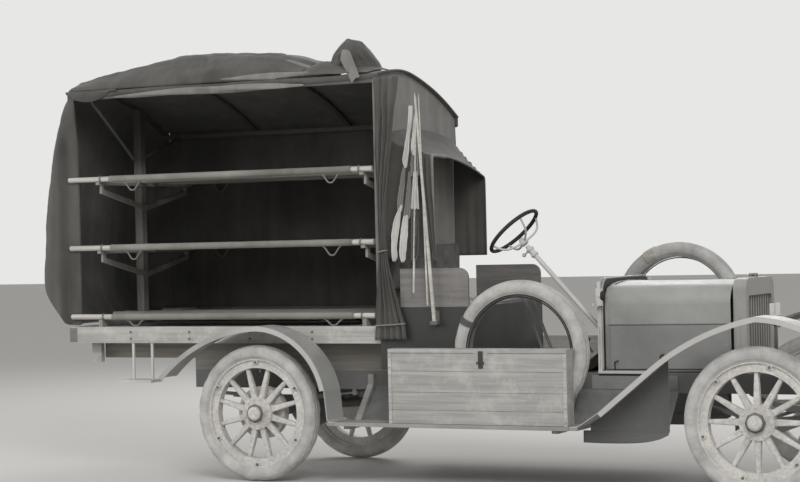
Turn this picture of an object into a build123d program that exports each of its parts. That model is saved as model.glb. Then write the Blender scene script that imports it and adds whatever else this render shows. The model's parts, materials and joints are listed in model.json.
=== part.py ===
from build123d import *
import math
import os

# Military ambulance truck of the 1910s, right-hand drive, canvas body open on the right side.
# Millimetres. X forward, Y to the left, Z up. Origin: middle of the outline, on the ground.

# Running gear
wheelbase = 3320.0
rear_axle_x = -1050.0
track = 1420.0
tyre_radius = 440.0
tyre_width = 112.0
tyre_inner_radius = 352.0
tyre_shoulder_drop = 14.0
felloe_inner_radius = 293.0
felloe_width = 56.0
rim_width = 80.0
rim_wall = 8.0
rim_clamp = (30.0, 26.0, 10.0)
spoke_count = 12
spoke_tip_width = 27.0
spoke_root_width = 42.0
spoke_root_thickness = 44.0
hub_flange_radius = 106.0
hub_flange_thickness = 9.0
hub_bolt_circle = 90.0
hub_bolt_radius = 8.0
hub_bolt_height = 6.0
hub_barrel_radius = 58.0
hub_collar = 22.0
hub_cap_radius = 46.0
hub_cap_reach = 86.0
hub_inner_reach = 60.0
stub_radius = 24.0
stub_reach = 36.0
stub_end_gap = 6.0
running_clearance = 0.3
rear_drum_radius = 170.0
rear_drum_width = 60.0
rear_tube_radius = 42.0
rear_housing_radius = 150.0
rear_housing_half = 70.0

# Steering
kingpin_inset = 98.0
kingpin_radius = 14.0
kingpin_length = 128.0
knuckle_boss_radius = 26.0
knuckle_boss_height = 70.0
knuckle_gap = 1.0
yoke_thickness = 22.0
steering_arm_length = 150.0
steering_arm_inset = 16.0
steering_arm_thickness = 16.0
steering_eye_radius = 20.0
tie_rod_radius = 12.0
tie_eye_height = 28.0
steering_wheel_radius = 183.0
steering_wheel_rim = 13.0
steering_wheel_dish = 100.0
steering_wheel_boss = 30.0
# columns: place from the axis and height over the hub's face, of a spoke's start, bend and end
spoke_bend = ((22.0, 6.0), (128.0, 22.0), (183.0, 100.0))
spoke_radius = 7.0
steering_wheel_y = -330.0
steering_wheel_reach = 267.0
steering_wheel_z = 1505.0
column_foot_setback = 870.0
column_foot_rise = 20.0
column_radius = 15.0
column_hole_gap = 6.0
steering_box_length = 150.0

# Chassis
rail_outer_y = 430.0
rail_flange = 50.0
rail_depth = 120.0
rail_top_z = 700.0
rail_wall = 6.0
rail_gap = 0.3
rail_back_reach = 650.0
rail_front_reach = 210.0
dumb_iron_reach = 465.0
dumb_iron_drop = 98.0
dumb_iron_half = 22.0
cross_member_width = 60.0
cross_member_height = 70.0
spring_width = 44.0
leaf_thickness = 9.0
leaf_count = 5
leaf_step = 0.17
spring_eye_radius = 17.0
front_spring_span = 900.0
rear_spring_span = 1100.0
axle_beam_height = 56.0
axle_beam_width = 44.0
axle_beam_drop = 70.0

# Engine bay, set out from the front axle
dash_setback = 1065.0
dash_thickness = 25.0
dash_rise = 575.0
dash_corner = 90.0
bonnet_length = 744.0
bonnet_dash_gap = 28.0
bonnet_radiator_gap = 12.0
bonnet_rise = 552.0
bonnet_hem_gap = 6.0
bonnet_back_half = 418.0
bonnet_front_half = 322.0
bonnet_wall = 4.0
bonnet_gap = 12.0
bonnet_hinge_drop = 3.0
radiator_depth = 80.0
radiator_half = 300.0
radiator_rise = 562.0
radiator_frame = 45.0
radiator_window_depth = 22.0
radiator_bar_count = 9
radiator_bar_width = 12.0
cap_radius = 26.0
cap_height = 26.0
engine_half = 150.0
engine_height = 500.0
engine_sump_depth = 80.0
flywheel_half = 190.0
flywheel_length = 75.0
gearbox_half = 130.0
gearbox_length = 715.0
gearbox_depth = 210.0
engine_arm_width = 60.0
engine_arm_gap = 95.0
shaft_radius = 30.0
shaft_gap = 3.0

# Cab
cab_floor_thickness = 20.0
toe_board_run = 170.0
toe_board_rise = 130.0
seat_depth = 620.0
seat_inset = 2.0
seat_wall = 22.0
seat_wall_rise = 415.0
seat_board_drop = 105.0
seat_panel_height = 242.0
seat_panel_thickness = 18.0
seat_panel_setback = 145.0
seat_panel_corner = 60.0
cushion_rise = 30.0
cushion_clearance = 0.3
back_cushion_gap = 90.0
back_cushion_height = 315.0
back_cushion_depth = 70.0
back_cushion_inset = 78.0
# columns: place behind the dash, lean, height over the frame rail, place outside the rail
lever_table = ((305.0, 200.0, 540.0, 40.0), (225.0, 180.0, 450.0, 75.0))
lever_radius = 10.0
lever_plate_depth = 80.0
pedal_setback = 190.0
pedal_lean = 60.0
pedal_height = 150.0
pedal_ys = (-150.0, -245.0)
pedal_radius = 7.0
pedal_pad_radius = 34.0
pedal_foot_gap = 2.0

# Fenders and boards
fender_gap = 20.0
fender_width = 220.0
fender_thickness = 4.0
fender_lip = 28.0
fender_foot = 50.0
fender_foot_rise = 14.0
apron_drop = 40.0
apron_share = 0.13
stay_thickness = 8.0
stay_width = 20.0
stay_foot_drop = 90.0
stay_gap = 2.2
stay_reach = 150.0
stay_bend = 60.0
rear_fender_foot = 565.0
# columns: place ahead of the axle, height over the wheel's centre
rear_fender_points = ((-680.0, 229.0), (-350.0, 465.0), (60.0, 563.0), (400.0, 420.0), (545.0, 160.0))
front_fender_points = ((-640.0, 286.0), (-330.0, 490.0), (30.0, 612.0), (370.0, 520.0), (578.0, 360.0))
# columns: place ahead of the running board's front end, height over it
front_fender_foot = (130.0, 85.0)
board_thickness = 20.0
board_top_z = 400.0
bracket_width = 40.0
bracket_depth = 24.0
valance_gap = 5.0
valance_lap = 20.0
valance_thickness = 5.0
box_back_gap = 440.0
box_front_gap = 60.0
box_height = 465.0
box_edge_gap = 8.0
box_wall = 18.0
box_latch = (90.0, 6.0, 120.0)
spare_clearance = 2.0
spare_inset = 3.0
right_spare_setback = 418.0
left_spare_lead = 111.0
left_spare_edge = 60.0

# Body, set out from its front end and the stretchers
body_front_x = -210.0
body_half = 600.0
floor_rise = 295.0
floor_thickness = 20.0
sill_height = 110.0
sill_thickness = 32.0
bearer_width = 60.0
bearer_count = 6
bulkhead_thickness = 20.0
stretcher_length = 2340.0
stretcher_front_gap = 25.0
stretcher_back_gap = 5.0
post_size = 58.0
post_end_setback = 200.0
post_front_inset = 30.0
tier_rises = (67.0, 537.0, 1005.0)
arm_width = 28.0
arm_depth = 20.0
strut_width = 18.0
strut_depth = 34.0
strut_foot_drop = 210.0
strut_head_drop = 96.0
strut_head_inset = 45.0
strut_head_depth = 30.0
pole_radius = 18.0
pole_edge_gap = 8.0
pole_post_gap = 23.0
pole_back_handle = 335.0
pole_front_handle = 150.0
bed_inset = 4.0
bed_thickness = 8.0
# columns: y, height over the floor
far_eave_rise = 1375.0
far_shoulder = (235.0, 1537.0)
crown = (-200.0, 1645.0)
near_shoulder = (-410.0, 1639.0)
near_eave_rise = 1605.0
canvas_thickness = 6.0
canvas_clearance = 0.3
hoop_width = 36.0
hoop_depth = 24.0
hoop_count = 4
roof_rail_height = 32.0
purlin_width = 40.0
purlin_depth = 30.0
brace_drop = 350.0
brace_radius = 11.0
brace_setback = 20.0
step_setbacks = (510.0, 660.0)
step_drop = 245.0
step_hanger = 16.0
step_thickness = 18.0
curtain_hem_rise = 15.0
curtain_bulge = 250.0
bulge_rise = 255.0
rear_cap_length = 75.0
roof_overhang = 24.0
far_flap = 60.0
near_flap = 26.0
heap_y = (-560.0, 120.0)
# columns: place ahead of the body's back end, height above the roof
heap_sections = ((120.0, 50.0), (900.0, 165.0), (1400.0, 170.0), (1840.0, 110.0))
bundle_radius = 70.0
bundle_length = 330.0
bundle_setback = 220.0
bundle_y = -320.0
bundle_rise = 60.0
hood_length = 305.0
hood_back_rise = 1275.0
hood_front_rise = 1055.0
hood_right_rise = 1075.0
hood_left_rise = 960.0
hood_half = 560.0
hood_back_drop = 60.0
hood_strip_rise = 425.0
hood_strip_width = 60.0

# Fittings
lamp_bracket_lead = 30.0
lamp_bracket_rise = 345.0
lamp_post_radius = 12.0
lamp_prong_radius = 6.0
lamp_prong_half = 62.0
lamp_prong_height = 70.0
side_lamp_gap = 36.0
side_lamp_lead = 15.0
side_lamp_rise = 410.0
side_lamp_radius = 26.0
side_lamp_lens = 28.0
side_lamp_front_gap = 8.0
flag_gap = 42.0
flag_thickness = 22.0
pole_shoe = (50.0, 22.0)
exhaust_radius = 18.0
silencer_radius = 62.0
silencer_length = 520.0
crank_radius = 11.0
crank_throw = 170.0

# Places that follow from the values above
front_axle_x = rear_axle_x + wheelbase
wheel_plane_y = track / 2
kingpin_y = wheel_plane_y - kingpin_inset
rail_back_x = rear_axle_x - rail_back_reach
rail_front_x = front_axle_x + rail_front_reach
rail_inner_y = rail_outer_y - rail_flange
rail_web_y = rail_outer_y - rail_wall
rail_bottom_z = rail_top_z - rail_depth
spring_y = rail_outer_y - rail_flange / 2
dash_x = (front_axle_x - dash_setback, front_axle_x - dash_setback + dash_thickness)
dash_half = rail_outer_y + 2
bonnet_back_x = dash_x[1] + bonnet_dash_gap
bonnet_front_x = bonnet_back_x + bonnet_length
bonnet_top_z = rail_top_z + bonnet_rise
bonnet_bottom_z = rail_top_z + bonnet_hem_gap
radiator_x = (bonnet_front_x + bonnet_radiator_gap, bonnet_front_x + bonnet_radiator_gap + radiator_depth)
radiator_mid_x = (radiator_x[0] + radiator_x[1]) / 2
radiator_top_z = rail_top_z + radiator_rise
cab_floor_top_z = rail_top_z + cab_floor_thickness
side_inner_y = body_half + fender_gap
side_outer_y = side_inner_y + fender_width
board_x = (rear_axle_x + rear_fender_foot, dash_x[0])
stretcher_back_x = body_front_x - bulkhead_thickness - stretcher_front_gap - stretcher_length
body_back_x = stretcher_back_x - stretcher_back_gap
post_xs = (stretcher_back_x + post_end_setback, stretcher_back_x + stretcher_length - post_front_inset)
floor_top_z = rail_top_z + floor_rise
sill_bottom_z = floor_top_z - sill_height
tier_zs = [floor_top_z + rise for rise in tier_rises]
near_pole_y = body_half - pole_edge_gap
far_pole_y = post_size / 2 + pole_post_gap
far_eave_z = floor_top_z + far_eave_rise
near_eave_z = floor_top_z + near_eave_rise
crown_z = floor_top_z + crown[1]
seat_x = (body_front_x, body_front_x + seat_depth)
seat_half = body_half - seat_inset
seat_wall_top_z = rail_top_z + seat_wall_rise
seat_board_z = seat_wall_top_z - seat_board_drop


def slab(x, y, z, mode=Mode.ADD):
    """Box between two x, two y and two z values, given in either order."""
    low = [min(pair) for pair in (x, y, z)]
    high = [max(pair) for pair in (x, y, z)]
    with Locations(tuple((a + b) / 2 for a, b in zip(low, high))):
        Box(*[b - a for a, b in zip(low, high)], mode=mode)


def rod(start, end, radius):
    """Round bar between two points."""
    line = Vector(*end) - Vector(*start)
    with BuildSketch(Plane(origin=start, z_dir=line)) as section:
        Circle(radius)
    extrude(section.sketch, amount=line.length)


def finish(part, label):
    part.label = label
    export_step(part, f"parts/{label}.step")


os.makedirs("parts", exist_ok=True)

# One wheel about its own Z axis: wooden spokes and felloe, steel rim held by clamps, bolted hub
spoke_root_radius = hub_flange_radius - 12
with BuildPart() as spoke:
    # columns: radius, depth, width, corner radius
    for radius, depth, width, corner in (
            (spoke_root_radius, spoke_root_thickness, spoke_root_width, spoke_tip_width * 0.3),
            (felloe_inner_radius + 4, spoke_tip_width * 1.2, spoke_tip_width, spoke_tip_width * 0.4)):
        with BuildSketch(Plane(origin=(radius, 0, 0), x_dir=(0, 0, 1), z_dir=(1, 0, 0))):
            RectangleRounded(depth, width, corner)
    loft(ruled=True)

flange_face_z = spoke_root_thickness / 2 + hub_flange_thickness
with BuildPart() as wheel_core:
    with BuildSketch(Plane.XY.offset(-felloe_width / 2)):
        Circle(tyre_inner_radius - rim_wall)
        Circle(felloe_inner_radius, mode=Mode.SUBTRACT)
    extrude(amount=felloe_width)
    with BuildSketch(Plane.XY.offset(-rim_width / 2)):
        Circle(tyre_inner_radius)
        Circle(tyre_inner_radius - rim_wall, mode=Mode.SUBTRACT)
    extrude(amount=rim_width)
    with BuildSketch(Plane.XY.offset(felloe_width / 2)):
        with PolarLocations(tyre_inner_radius - rim_wall - rim_clamp[1] / 2, spoke_count // 2,
                            180 / spoke_count):
            Rectangle(rim_clamp[1], rim_clamp[0])
    extrude(amount=rim_clamp[2])
    with BuildSketch(Plane.XY.offset(-flange_face_z)):
        Circle(hub_flange_radius)
    extrude(amount=2 * flange_face_z)
    with PolarLocations(0, spoke_count):
        add(spoke.part)
    with BuildSketch(Plane.XY.offset(flange_face_z)):
        with PolarLocations(hub_bolt_circle, spoke_count):
            Circle(hub_bolt_radius)
    extrude(amount=hub_bolt_height)
    with BuildSketch(Plane.XY.offset(-hub_inner_reach)):
        Circle(hub_barrel_radius)
    extrude(amount=hub_inner_reach + flange_face_z + hub_collar)
    Cylinder(hub_cap_radius, hub_cap_reach, align=(Align.CENTER, Align.CENTER, Align.MIN))
    fillet(wheel_core.edges().filter_by(GeomType.CIRCLE).sort_by(Axis.Z)[-1], hub_cap_radius / 2)
    with BuildSketch(Plane.XY.offset(-hub_inner_reach)):
        Circle(stub_radius + running_clearance)
    extrude(amount=hub_inner_reach + stub_reach + stub_end_gap, mode=Mode.SUBTRACT)

with BuildPart() as rear_wheel_core:
    add(wheel_core.part)
    with BuildSketch(Plane.XY.offset(-flange_face_z - rear_drum_width)):
        Circle(rear_drum_radius)
        Circle(stub_radius + running_clearance, mode=Mode.SUBTRACT)
    extrude(amount=rear_drum_width)

# Tyre about its own Z axis: round section, crowned tread, bead seated on the rim
tyre_half = tyre_width / 2
sidewall_radius = (tyre_inner_radius + tyre_radius) / 2 - 8
shoulder = (tyre_radius - tyre_shoulder_drop, tyre_half * 0.6)
with BuildPart() as tyre_core:
    with BuildSketch(Plane.XZ):
        with BuildLine():
            bead = Line((tyre_inner_radius, -rim_width / 2), (tyre_inner_radius, rim_width / 2))
            lower = ThreePointArc(bead @ 0, (sidewall_radius, -tyre_half), (shoulder[0], -shoulder[1]))
            upper = ThreePointArc(bead @ 1, (sidewall_radius, tyre_half), shoulder)
            ThreePointArc(lower @ 1, (tyre_radius, 0), upper @ 1)
        make_face()
    revolve(axis=Axis.Z)

# columns: name, x, side (+1 left), turn of the first spoke, wheel
wheel_table = (
    ("front_left", front_axle_x, 1, 0.0, wheel_core),
    ("front_right", front_axle_x, -1, 0.0, wheel_core),
    ("rear_left", rear_axle_x, 1, 15.0, rear_wheel_core),
    ("rear_right", rear_axle_x, -1, 15.0, rear_wheel_core),
)
for name, axle_x, side, first_spoke, core in wheel_table:
    outward = Plane(origin=(axle_x, side * wheel_plane_y, tyre_radius), x_dir=(1, 0, 0), z_dir=(0, side, 0))
    finish(outward.location * Rot(0, 0, first_spoke) * core.part, f"wheel_{name}")
    finish(outward.location * tyre_core.part, f"tyre_{name}")

# Front axle: dropped beam with a yoke at each end
beam_z = tyre_radius - axle_beam_drop
beam_half_height = axle_beam_height / 2
boss_half = knuckle_boss_height / 2
yoke_reach = boss_half + knuckle_gap
yoke_back_y = kingpin_y - knuckle_boss_radius - yoke_thickness
yoke_face_y = kingpin_y - knuckle_boss_radius - 6
bend_y = yoke_back_y - 84
beam_x = (front_axle_x - axle_beam_width / 2, front_axle_x + axle_beam_width / 2)
with BuildPart() as front_axle:
    with BuildSketch(Plane.YZ.offset(front_axle_x)):
        with BuildLine():
            Polyline((-bend_y, beam_z - beam_half_height), (bend_y, beam_z - beam_half_height),
                     (yoke_face_y - 8, tyre_radius - beam_half_height),
                     (yoke_face_y - 8, tyre_radius + beam_half_height),
                     (bend_y - 30, beam_z + beam_half_height), (30 - bend_y, beam_z + beam_half_height),
                     (8 - yoke_face_y, tyre_radius + beam_half_height),
                     (8 - yoke_face_y, tyre_radius - beam_half_height), close=True)
        make_face()
    extrude(amount=axle_beam_width / 2, both=True)
    for side in (-1, 1):
        slab(beam_x, (side * yoke_back_y, side * yoke_face_y),
             (tyre_radius - yoke_reach - yoke_thickness, tyre_radius + yoke_reach + yoke_thickness))
        for lug_z in (tyre_radius - yoke_reach - yoke_thickness, tyre_radius + yoke_reach):
            slab(beam_x, (side * yoke_back_y, side * kingpin_y), (lug_z, lug_z + yoke_thickness))
            with BuildSketch(Plane.XY.offset(lug_z)):
                with Locations((front_axle_x, side * kingpin_y)):
                    Circle(axle_beam_width / 2)
            extrude(amount=yoke_thickness)
        with BuildSketch(Plane.XY.offset(tyre_radius - kingpin_length / 2)):
            with Locations((front_axle_x, side * kingpin_y)):
                Circle(kingpin_radius)
        extrude(amount=kingpin_length)
finish(front_axle.part, "front_axle")

# Knuckles: boss on the kingpin, stub for the wheel, arm back to the tie rod
arm_back_x = front_axle_x - steering_arm_length
arm_bottom_z = tyre_radius - boss_half
tie_half = kingpin_y - steering_arm_inset
for name, side in (("left", 1), ("right", -1)):
    with BuildPart() as knuckle:
        with BuildSketch(Plane.XY.offset(arm_bottom_z)):
            with Locations((front_axle_x, side * kingpin_y)):
                Circle(knuckle_boss_radius)
        extrude(amount=knuckle_boss_height)
        rod((front_axle_x, side * (kingpin_y + kingpin_radius - 4), tyre_radius),
            (front_axle_x, side * (wheel_plane_y + stub_reach), tyre_radius), stub_radius)
        with BuildSketch(Plane.XY.offset(arm_bottom_z)):
            with BuildLine():
                Polyline((front_axle_x - 4, side * (kingpin_y - steering_arm_thickness)),
                         (arm_back_x, side * (tie_half - kingpin_radius)),
                         (arm_back_x, side * (tie_half + kingpin_radius)),
                         (front_axle_x - 4, side * (kingpin_y + steering_arm_thickness)), close=True)
            make_face()
            with Locations((arm_back_x, side * tie_half)):
                Circle(steering_eye_radius)
        extrude(amount=steering_arm_thickness)
        with BuildSketch(Plane.XY.offset(arm_bottom_z - 5)):
            with Locations((front_axle_x, side * kingpin_y)):
                Circle(kingpin_radius + running_clearance)
        extrude(amount=knuckle_boss_height + 10, mode=Mode.SUBTRACT)
    finish(knuckle.part, f"knuckle_{name}")

# Tie rod between the knuckle arms, its eyes close under them
tie_z = arm_bottom_z - tie_eye_height / 2 - running_clearance
with BuildPart() as tie_rod:
    rod((arm_back_x, -tie_half + 10, tie_z), (arm_back_x, tie_half - 10, tie_z), tie_rod_radius)
    with BuildSketch(Plane.XY.offset(tie_z - tie_eye_height / 2)):
        with Locations((arm_back_x, -tie_half), (arm_back_x, tie_half)):
            Circle(steering_eye_radius)
    extrude(amount=tie_eye_height)
finish(tie_rod.part, "tie_rod")

# Steering: column and box fixed to the right rail, wheel on the column's upper end
column_foot_x = front_axle_x - column_foot_setback
column_foot_z = rail_top_z + column_foot_rise
column_top = Vector(seat_x[1] + steering_wheel_reach, steering_wheel_y, steering_wheel_z)
column_low = Vector(column_foot_x, steering_wheel_y, column_foot_z)
column_line = (column_low - column_top).normalized()
box_inner_y = steering_wheel_y + 2 * column_radius
with BuildPart() as steering_column:
    rod(column_top + column_line * (steering_wheel_boss + running_clearance), column_low, column_radius)
    slab((column_foot_x - steering_box_length / 2, column_foot_x + steering_box_length / 2),
         (-rail_web_y + rail_gap, box_inner_y),
         (rail_bottom_z + rail_wall + rail_gap, rail_top_z - rail_wall - rail_gap))
    slab((column_foot_x - 2 * column_radius, column_foot_x + 2 * column_radius),
         (2 - rail_inner_y, box_inner_y),
         (rail_top_z - rail_wall - rail_gap, column_foot_z))
finish(steering_column.part, "steering_column")

wheel_tilt = Plane(origin=column_top, z_dir=column_line)
with BuildPart() as steering_wheel:
    with BuildSketch(Plane(origin=column_top, x_dir=wheel_tilt.x_dir, z_dir=wheel_tilt.y_dir)):
        with Locations((steering_wheel_radius, steering_wheel_dish)):
            Circle(steering_wheel_rim)
    revolve(axis=Axis(column_top, column_line))
    with BuildSketch(wheel_tilt.offset(-steering_wheel_boss / 2)):
        Circle(steering_wheel_boss - 2)
    extrude(amount=1.5 * steering_wheel_boss)
    for turn in range(4):
        bend = [
            wheel_tilt.from_local_coords(Vector(outward, 0, -rise).rotate(Axis.Z, 45 + 90 * turn))
            for outward, rise in spoke_bend
        ]
        with BuildLine() as spoke:
            ThreePointArc(*bend)
        with BuildSketch(Plane(origin=spoke.line @ 0, z_dir=spoke.line % 0)):
            Circle(spoke_radius)
        sweep(path=spoke.line)
finish(steering_wheel.part, "steering_wheel")

# Frame rails: channel pressed to one side profile that sweeps down into the dumb iron
dumb_iron_tip = (front_axle_x + dumb_iron_reach, rail_top_z - dumb_iron_drop)
rail_profile = (
    (rail_back_x, rail_bottom_z), (rail_back_x, rail_top_z), (rail_front_x, rail_top_z),
    (dumb_iron_tip[0], dumb_iron_tip[1] + dumb_iron_half),
    (dumb_iron_tip[0], dumb_iron_tip[1] - dumb_iron_half),
    (rail_front_x - 60, rail_bottom_z),
)
pocket_profile = (
    (rail_back_x - 1, rail_bottom_z + rail_wall), (rail_back_x - 1, rail_top_z - rail_wall),
    (rail_front_x - 20, rail_top_z - rail_wall), (rail_front_x - 60, rail_bottom_z + rail_wall),
)
with BuildPart() as frame_rails:
    for side in (-1, 1):
        web_plane = Plane(origin=(0, side * rail_outer_y, 0), x_dir=(1, 0, 0), z_dir=(0, -side, 0))
        with BuildSketch(web_plane) as outer:
            with BuildLine():
                corners = [web_plane.to_local_coords(Vector(x, side * rail_outer_y, z)) for x,
                           z in rail_profile]
                Polyline(*[(p.X, p.Y) for p in corners], close=True)
            make_face()
            fillet(outer.vertices().sort_by(Axis.X)[-2:], dumb_iron_half - 4)
        extrude(amount=rail_flange)
        with BuildSketch(web_plane.offset(rail_wall)):
            with BuildLine():
                pocket = [web_plane.to_local_coords(Vector(x, side * rail_outer_y, z)) for x,
                          z in pocket_profile]
                Polyline(*[(p.X, p.Y) for p in pocket], close=True)
            make_face()
        extrude(amount=rail_flange, mode=Mode.SUBTRACT)
finish(frame_rails.part, "frame_rails")

# Cross members fit between the rail flanges and reach the webs
cross_member_xs = (rail_back_x + cross_member_width, rear_axle_x + 350, rear_axle_x + 1350, radiator_mid_x)
with BuildPart() as cross_members:
    for member_x in cross_member_xs:
        slab((member_x - cross_member_width / 2, member_x + cross_member_width / 2),
             (-rail_web_y, rail_web_y),
             (rail_bottom_z + rail_wall, rail_bottom_z + rail_wall + cross_member_height))
finish(cross_members.part, "cross_members")


def leaf_spring(axle_x, side_y, span, seat_z, eye_z):
    """Leaf pack that sits on seat_z at the axle, its main leaf's eyes hung from the rail."""
    rise = eye_z - seat_z
    leaf_depth = leaf_thickness * 1.05
    with BuildSketch(Plane.XZ.offset(-side_y - spring_width / 2)) as side_view:
        for leaf in range(leaf_count):
            half = span / 2 * (1 - leaf * leaf_step)
            low_z = seat_z + (leaf_count - leaf - 1) * leaf_thickness
            end_z = low_z + rise * (half / (span / 2)) ** 2
            with BuildLine():
                low = ThreePointArc((axle_x - half, end_z), (axle_x, low_z), (axle_x + half, end_z))
                high = ThreePointArc((axle_x - half, end_z + leaf_depth), (axle_x, low_z + leaf_depth),
                                     (axle_x + half, end_z + leaf_depth))
                Line(low @ 0, high @ 0)
                Line(low @ 1, high @ 1)
            make_face()
        for end in (-1, 1):
            eye = (axle_x + end * span / 2, eye_z + leaf_thickness * (leaf_count - 0.5))
            with Locations(eye):
                Circle(spring_eye_radius)
            with Locations((eye[0], (eye[1] + rail_bottom_z) / 2)):
                Rectangle(spring_eye_radius * 1.4, rail_bottom_z - eye[1])
    extrude(side_view.sketch, amount=spring_width)


# Leaf springs, one solid at each corner
axle_pad_z = beam_z + beam_half_height
rear_pad_z = tyre_radius + rear_tube_radius + 8
spring_eye_z = rail_bottom_z - leaf_count * leaf_thickness - 20
with BuildPart() as leaf_springs:
    for side in (-1, 1):
        leaf_spring(front_axle_x, side * spring_y, front_spring_span, axle_pad_z, spring_eye_z)
        leaf_spring(rear_axle_x, side * spring_y, rear_spring_span, rear_pad_z, spring_eye_z)
finish(leaf_springs.part, "leaf_springs")

# Rear axle: tube, bevel housing, spring pads and the stubs the wheels turn on
drum_inner_y = wheel_plane_y - flange_face_z - rear_drum_width
with BuildPart() as rear_axle:
    rod((rear_axle_x, -drum_inner_y + 6, tyre_radius), (rear_axle_x, drum_inner_y - 6, tyre_radius),
        rear_tube_radius)
    for side in (-1, 1):
        rod((rear_axle_x, side * (drum_inner_y - 8), tyre_radius),
            (rear_axle_x, side * (wheel_plane_y + stub_reach), tyre_radius), stub_radius)
        slab((rear_axle_x - 60, rear_axle_x + 60),
             (side * (spring_y - spring_width / 2 - 6), side * (spring_y + spring_width / 2 + 6)),
             (tyre_radius, rear_pad_z))
    with BuildSketch(Plane.XZ):
        with Locations((rear_axle_x, tyre_radius)):
            Circle(rear_housing_radius)
    extrude(amount=rear_housing_half, both=True)
    housing_rims = rear_axle.edges().filter_by(GeomType.CIRCLE).filter_by(
        lambda edge: abs(edge.radius - rear_housing_radius) < 1)
    fillet(housing_rims, 40)
finish(rear_axle.part, "rear_axle")

# Engine and gearbox: one plain block on arms that rest in the rails, shaft tube to the rear axle
engine_x = (dash_x[1] + 110, radiator_x[0] - 64)
flywheel_x = (engine_x[0] - flywheel_length + 5, engine_x[0] + 5)
gearbox_x = (flywheel_x[0] + 5 - gearbox_length, flywheel_x[0] + 5)
engine_arm_xs = (
    gearbox_x[0] + engine_arm_width,
    column_foot_x - steering_box_length / 2 - engine_arm_gap,
    engine_x[1] - engine_arm_width,
)
with BuildPart() as engine:
    slab(engine_x, (-engine_half, engine_half), (rail_top_z - engine_sump_depth,
                                                 rail_top_z - engine_sump_depth + engine_height))
    slab(flywheel_x, (-flywheel_half, flywheel_half), (rail_top_z - 140, rail_top_z + 200))
    slab(gearbox_x, (-gearbox_half, gearbox_half), (rail_top_z - gearbox_depth, rail_top_z - 10))
    for arm_x in engine_arm_xs:
        slab((arm_x - engine_arm_width / 2, arm_x + engine_arm_width / 2), (-rail_web_y, rail_web_y),
             (rail_top_z - engine_arm_width, rail_top_z - rail_wall))
finish(engine.part, "engine")

with BuildPart() as prop_shaft:
    rod((rear_axle_x + rear_housing_radius + shaft_gap, 0, tyre_radius + 4),
        (gearbox_x[0] - shaft_gap, 0, rail_top_z - gearbox_depth + 55), shaft_radius)
finish(prop_shaft.part, "prop_shaft")

# Exhaust: silencer hung from the left rail, pipe forward to the engine and back to the tail
exhaust_y = rail_inner_y - silencer_radius - 30
exhaust_z = rail_bottom_z - silencer_radius - 12
silencer_x = (rear_axle_x + 640, rear_axle_x + 640 + silencer_length)
with BuildPart() as exhaust:
    rod((silencer_x[0], exhaust_y, exhaust_z), (silencer_x[1], exhaust_y, exhaust_z), silencer_radius)
    rod((silencer_x[1] - 5, exhaust_y, exhaust_z), (engine_x[0] + 120, exhaust_y, exhaust_z), exhaust_radius)
    rod((silencer_x[0] - 160, exhaust_y, exhaust_z), (silencer_x[0] + 5, exhaust_y, exhaust_z),
        exhaust_radius)
    for hanger_x in (silencer_x[0] + 60, silencer_x[1] - 60):
        slab((hanger_x - 12, hanger_x + 12), (exhaust_y - 4, exhaust_y + 4), (exhaust_z, rail_bottom_z - 8))
        slab((hanger_x - 12, hanger_x + 12), (exhaust_y - 4, rail_outer_y - 10),
             (rail_bottom_z - 8, rail_bottom_z - running_clearance))
finish(exhaust.part, "exhaust")

# Radiator: shell with a rounded top on the front cross member, barred core set back, filler cap
radiator_bottom_z = rail_bottom_z + rail_wall + cross_member_height
radiator_height = radiator_top_z - radiator_bottom_z
with BuildPart() as radiator:
    with BuildSketch(Plane.YZ.offset(radiator_x[0])) as shell:
        with Locations((0, radiator_bottom_z + radiator_height / 2)):
            Rectangle(2 * radiator_half, radiator_height)
        fillet(shell.vertices().group_by(Axis.Y)[-1], 70)
    extrude(amount=radiator_depth)
    with BuildSketch(Plane.YZ.offset(radiator_x[1] - radiator_window_depth)) as window:
        with Locations((0, radiator_bottom_z + radiator_height / 2 - 20)):
            Rectangle(2 * (radiator_half - radiator_frame), radiator_height - 170)
        fillet(window.vertices().group_by(Axis.Y)[-1], 40)
    extrude(amount=radiator_window_depth + 1, mode=Mode.SUBTRACT)
    bar_pitch = 2 * (radiator_half - radiator_frame) / (radiator_bar_count + 1)
    with BuildSketch(Plane.YZ.offset(radiator_x[1] - radiator_window_depth)):
        with Locations((0, radiator_bottom_z + radiator_height / 2 - 20)):
            with GridLocations(bar_pitch, 0, radiator_bar_count, 1):
                Rectangle(radiator_bar_width, radiator_height - 170)
    extrude(amount=radiator_window_depth / 2)
    rod((radiator_mid_x, 0, radiator_top_z - 5), (radiator_mid_x, 0, radiator_top_z + cap_height), cap_radius)
finish(radiator.part, "radiator")

# Starting handle through the front cross member, folded down
crank_x = (radiator_x[1] + 60, radiator_x[1] + 340)
crank_z = rail_bottom_z + rail_wall + cross_member_height / 2
with BuildPart() as starting_handle:
    rod((radiator_mid_x + cross_member_width / 2 + running_clearance, 0, crank_z), (crank_x[1], 0, crank_z),
        crank_radius)
    slab((crank_x[1] - crank_radius, crank_x[1] + crank_radius), (-16, 16),
         (crank_z - crank_throw, crank_z + 16))
    rod((crank_x[1], 0, crank_z - crank_throw + 12), (crank_x[1] + 130, 0, crank_z - crank_throw + 12),
        crank_radius + 2)
finish(starting_handle.part, "starting_handle")

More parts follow.
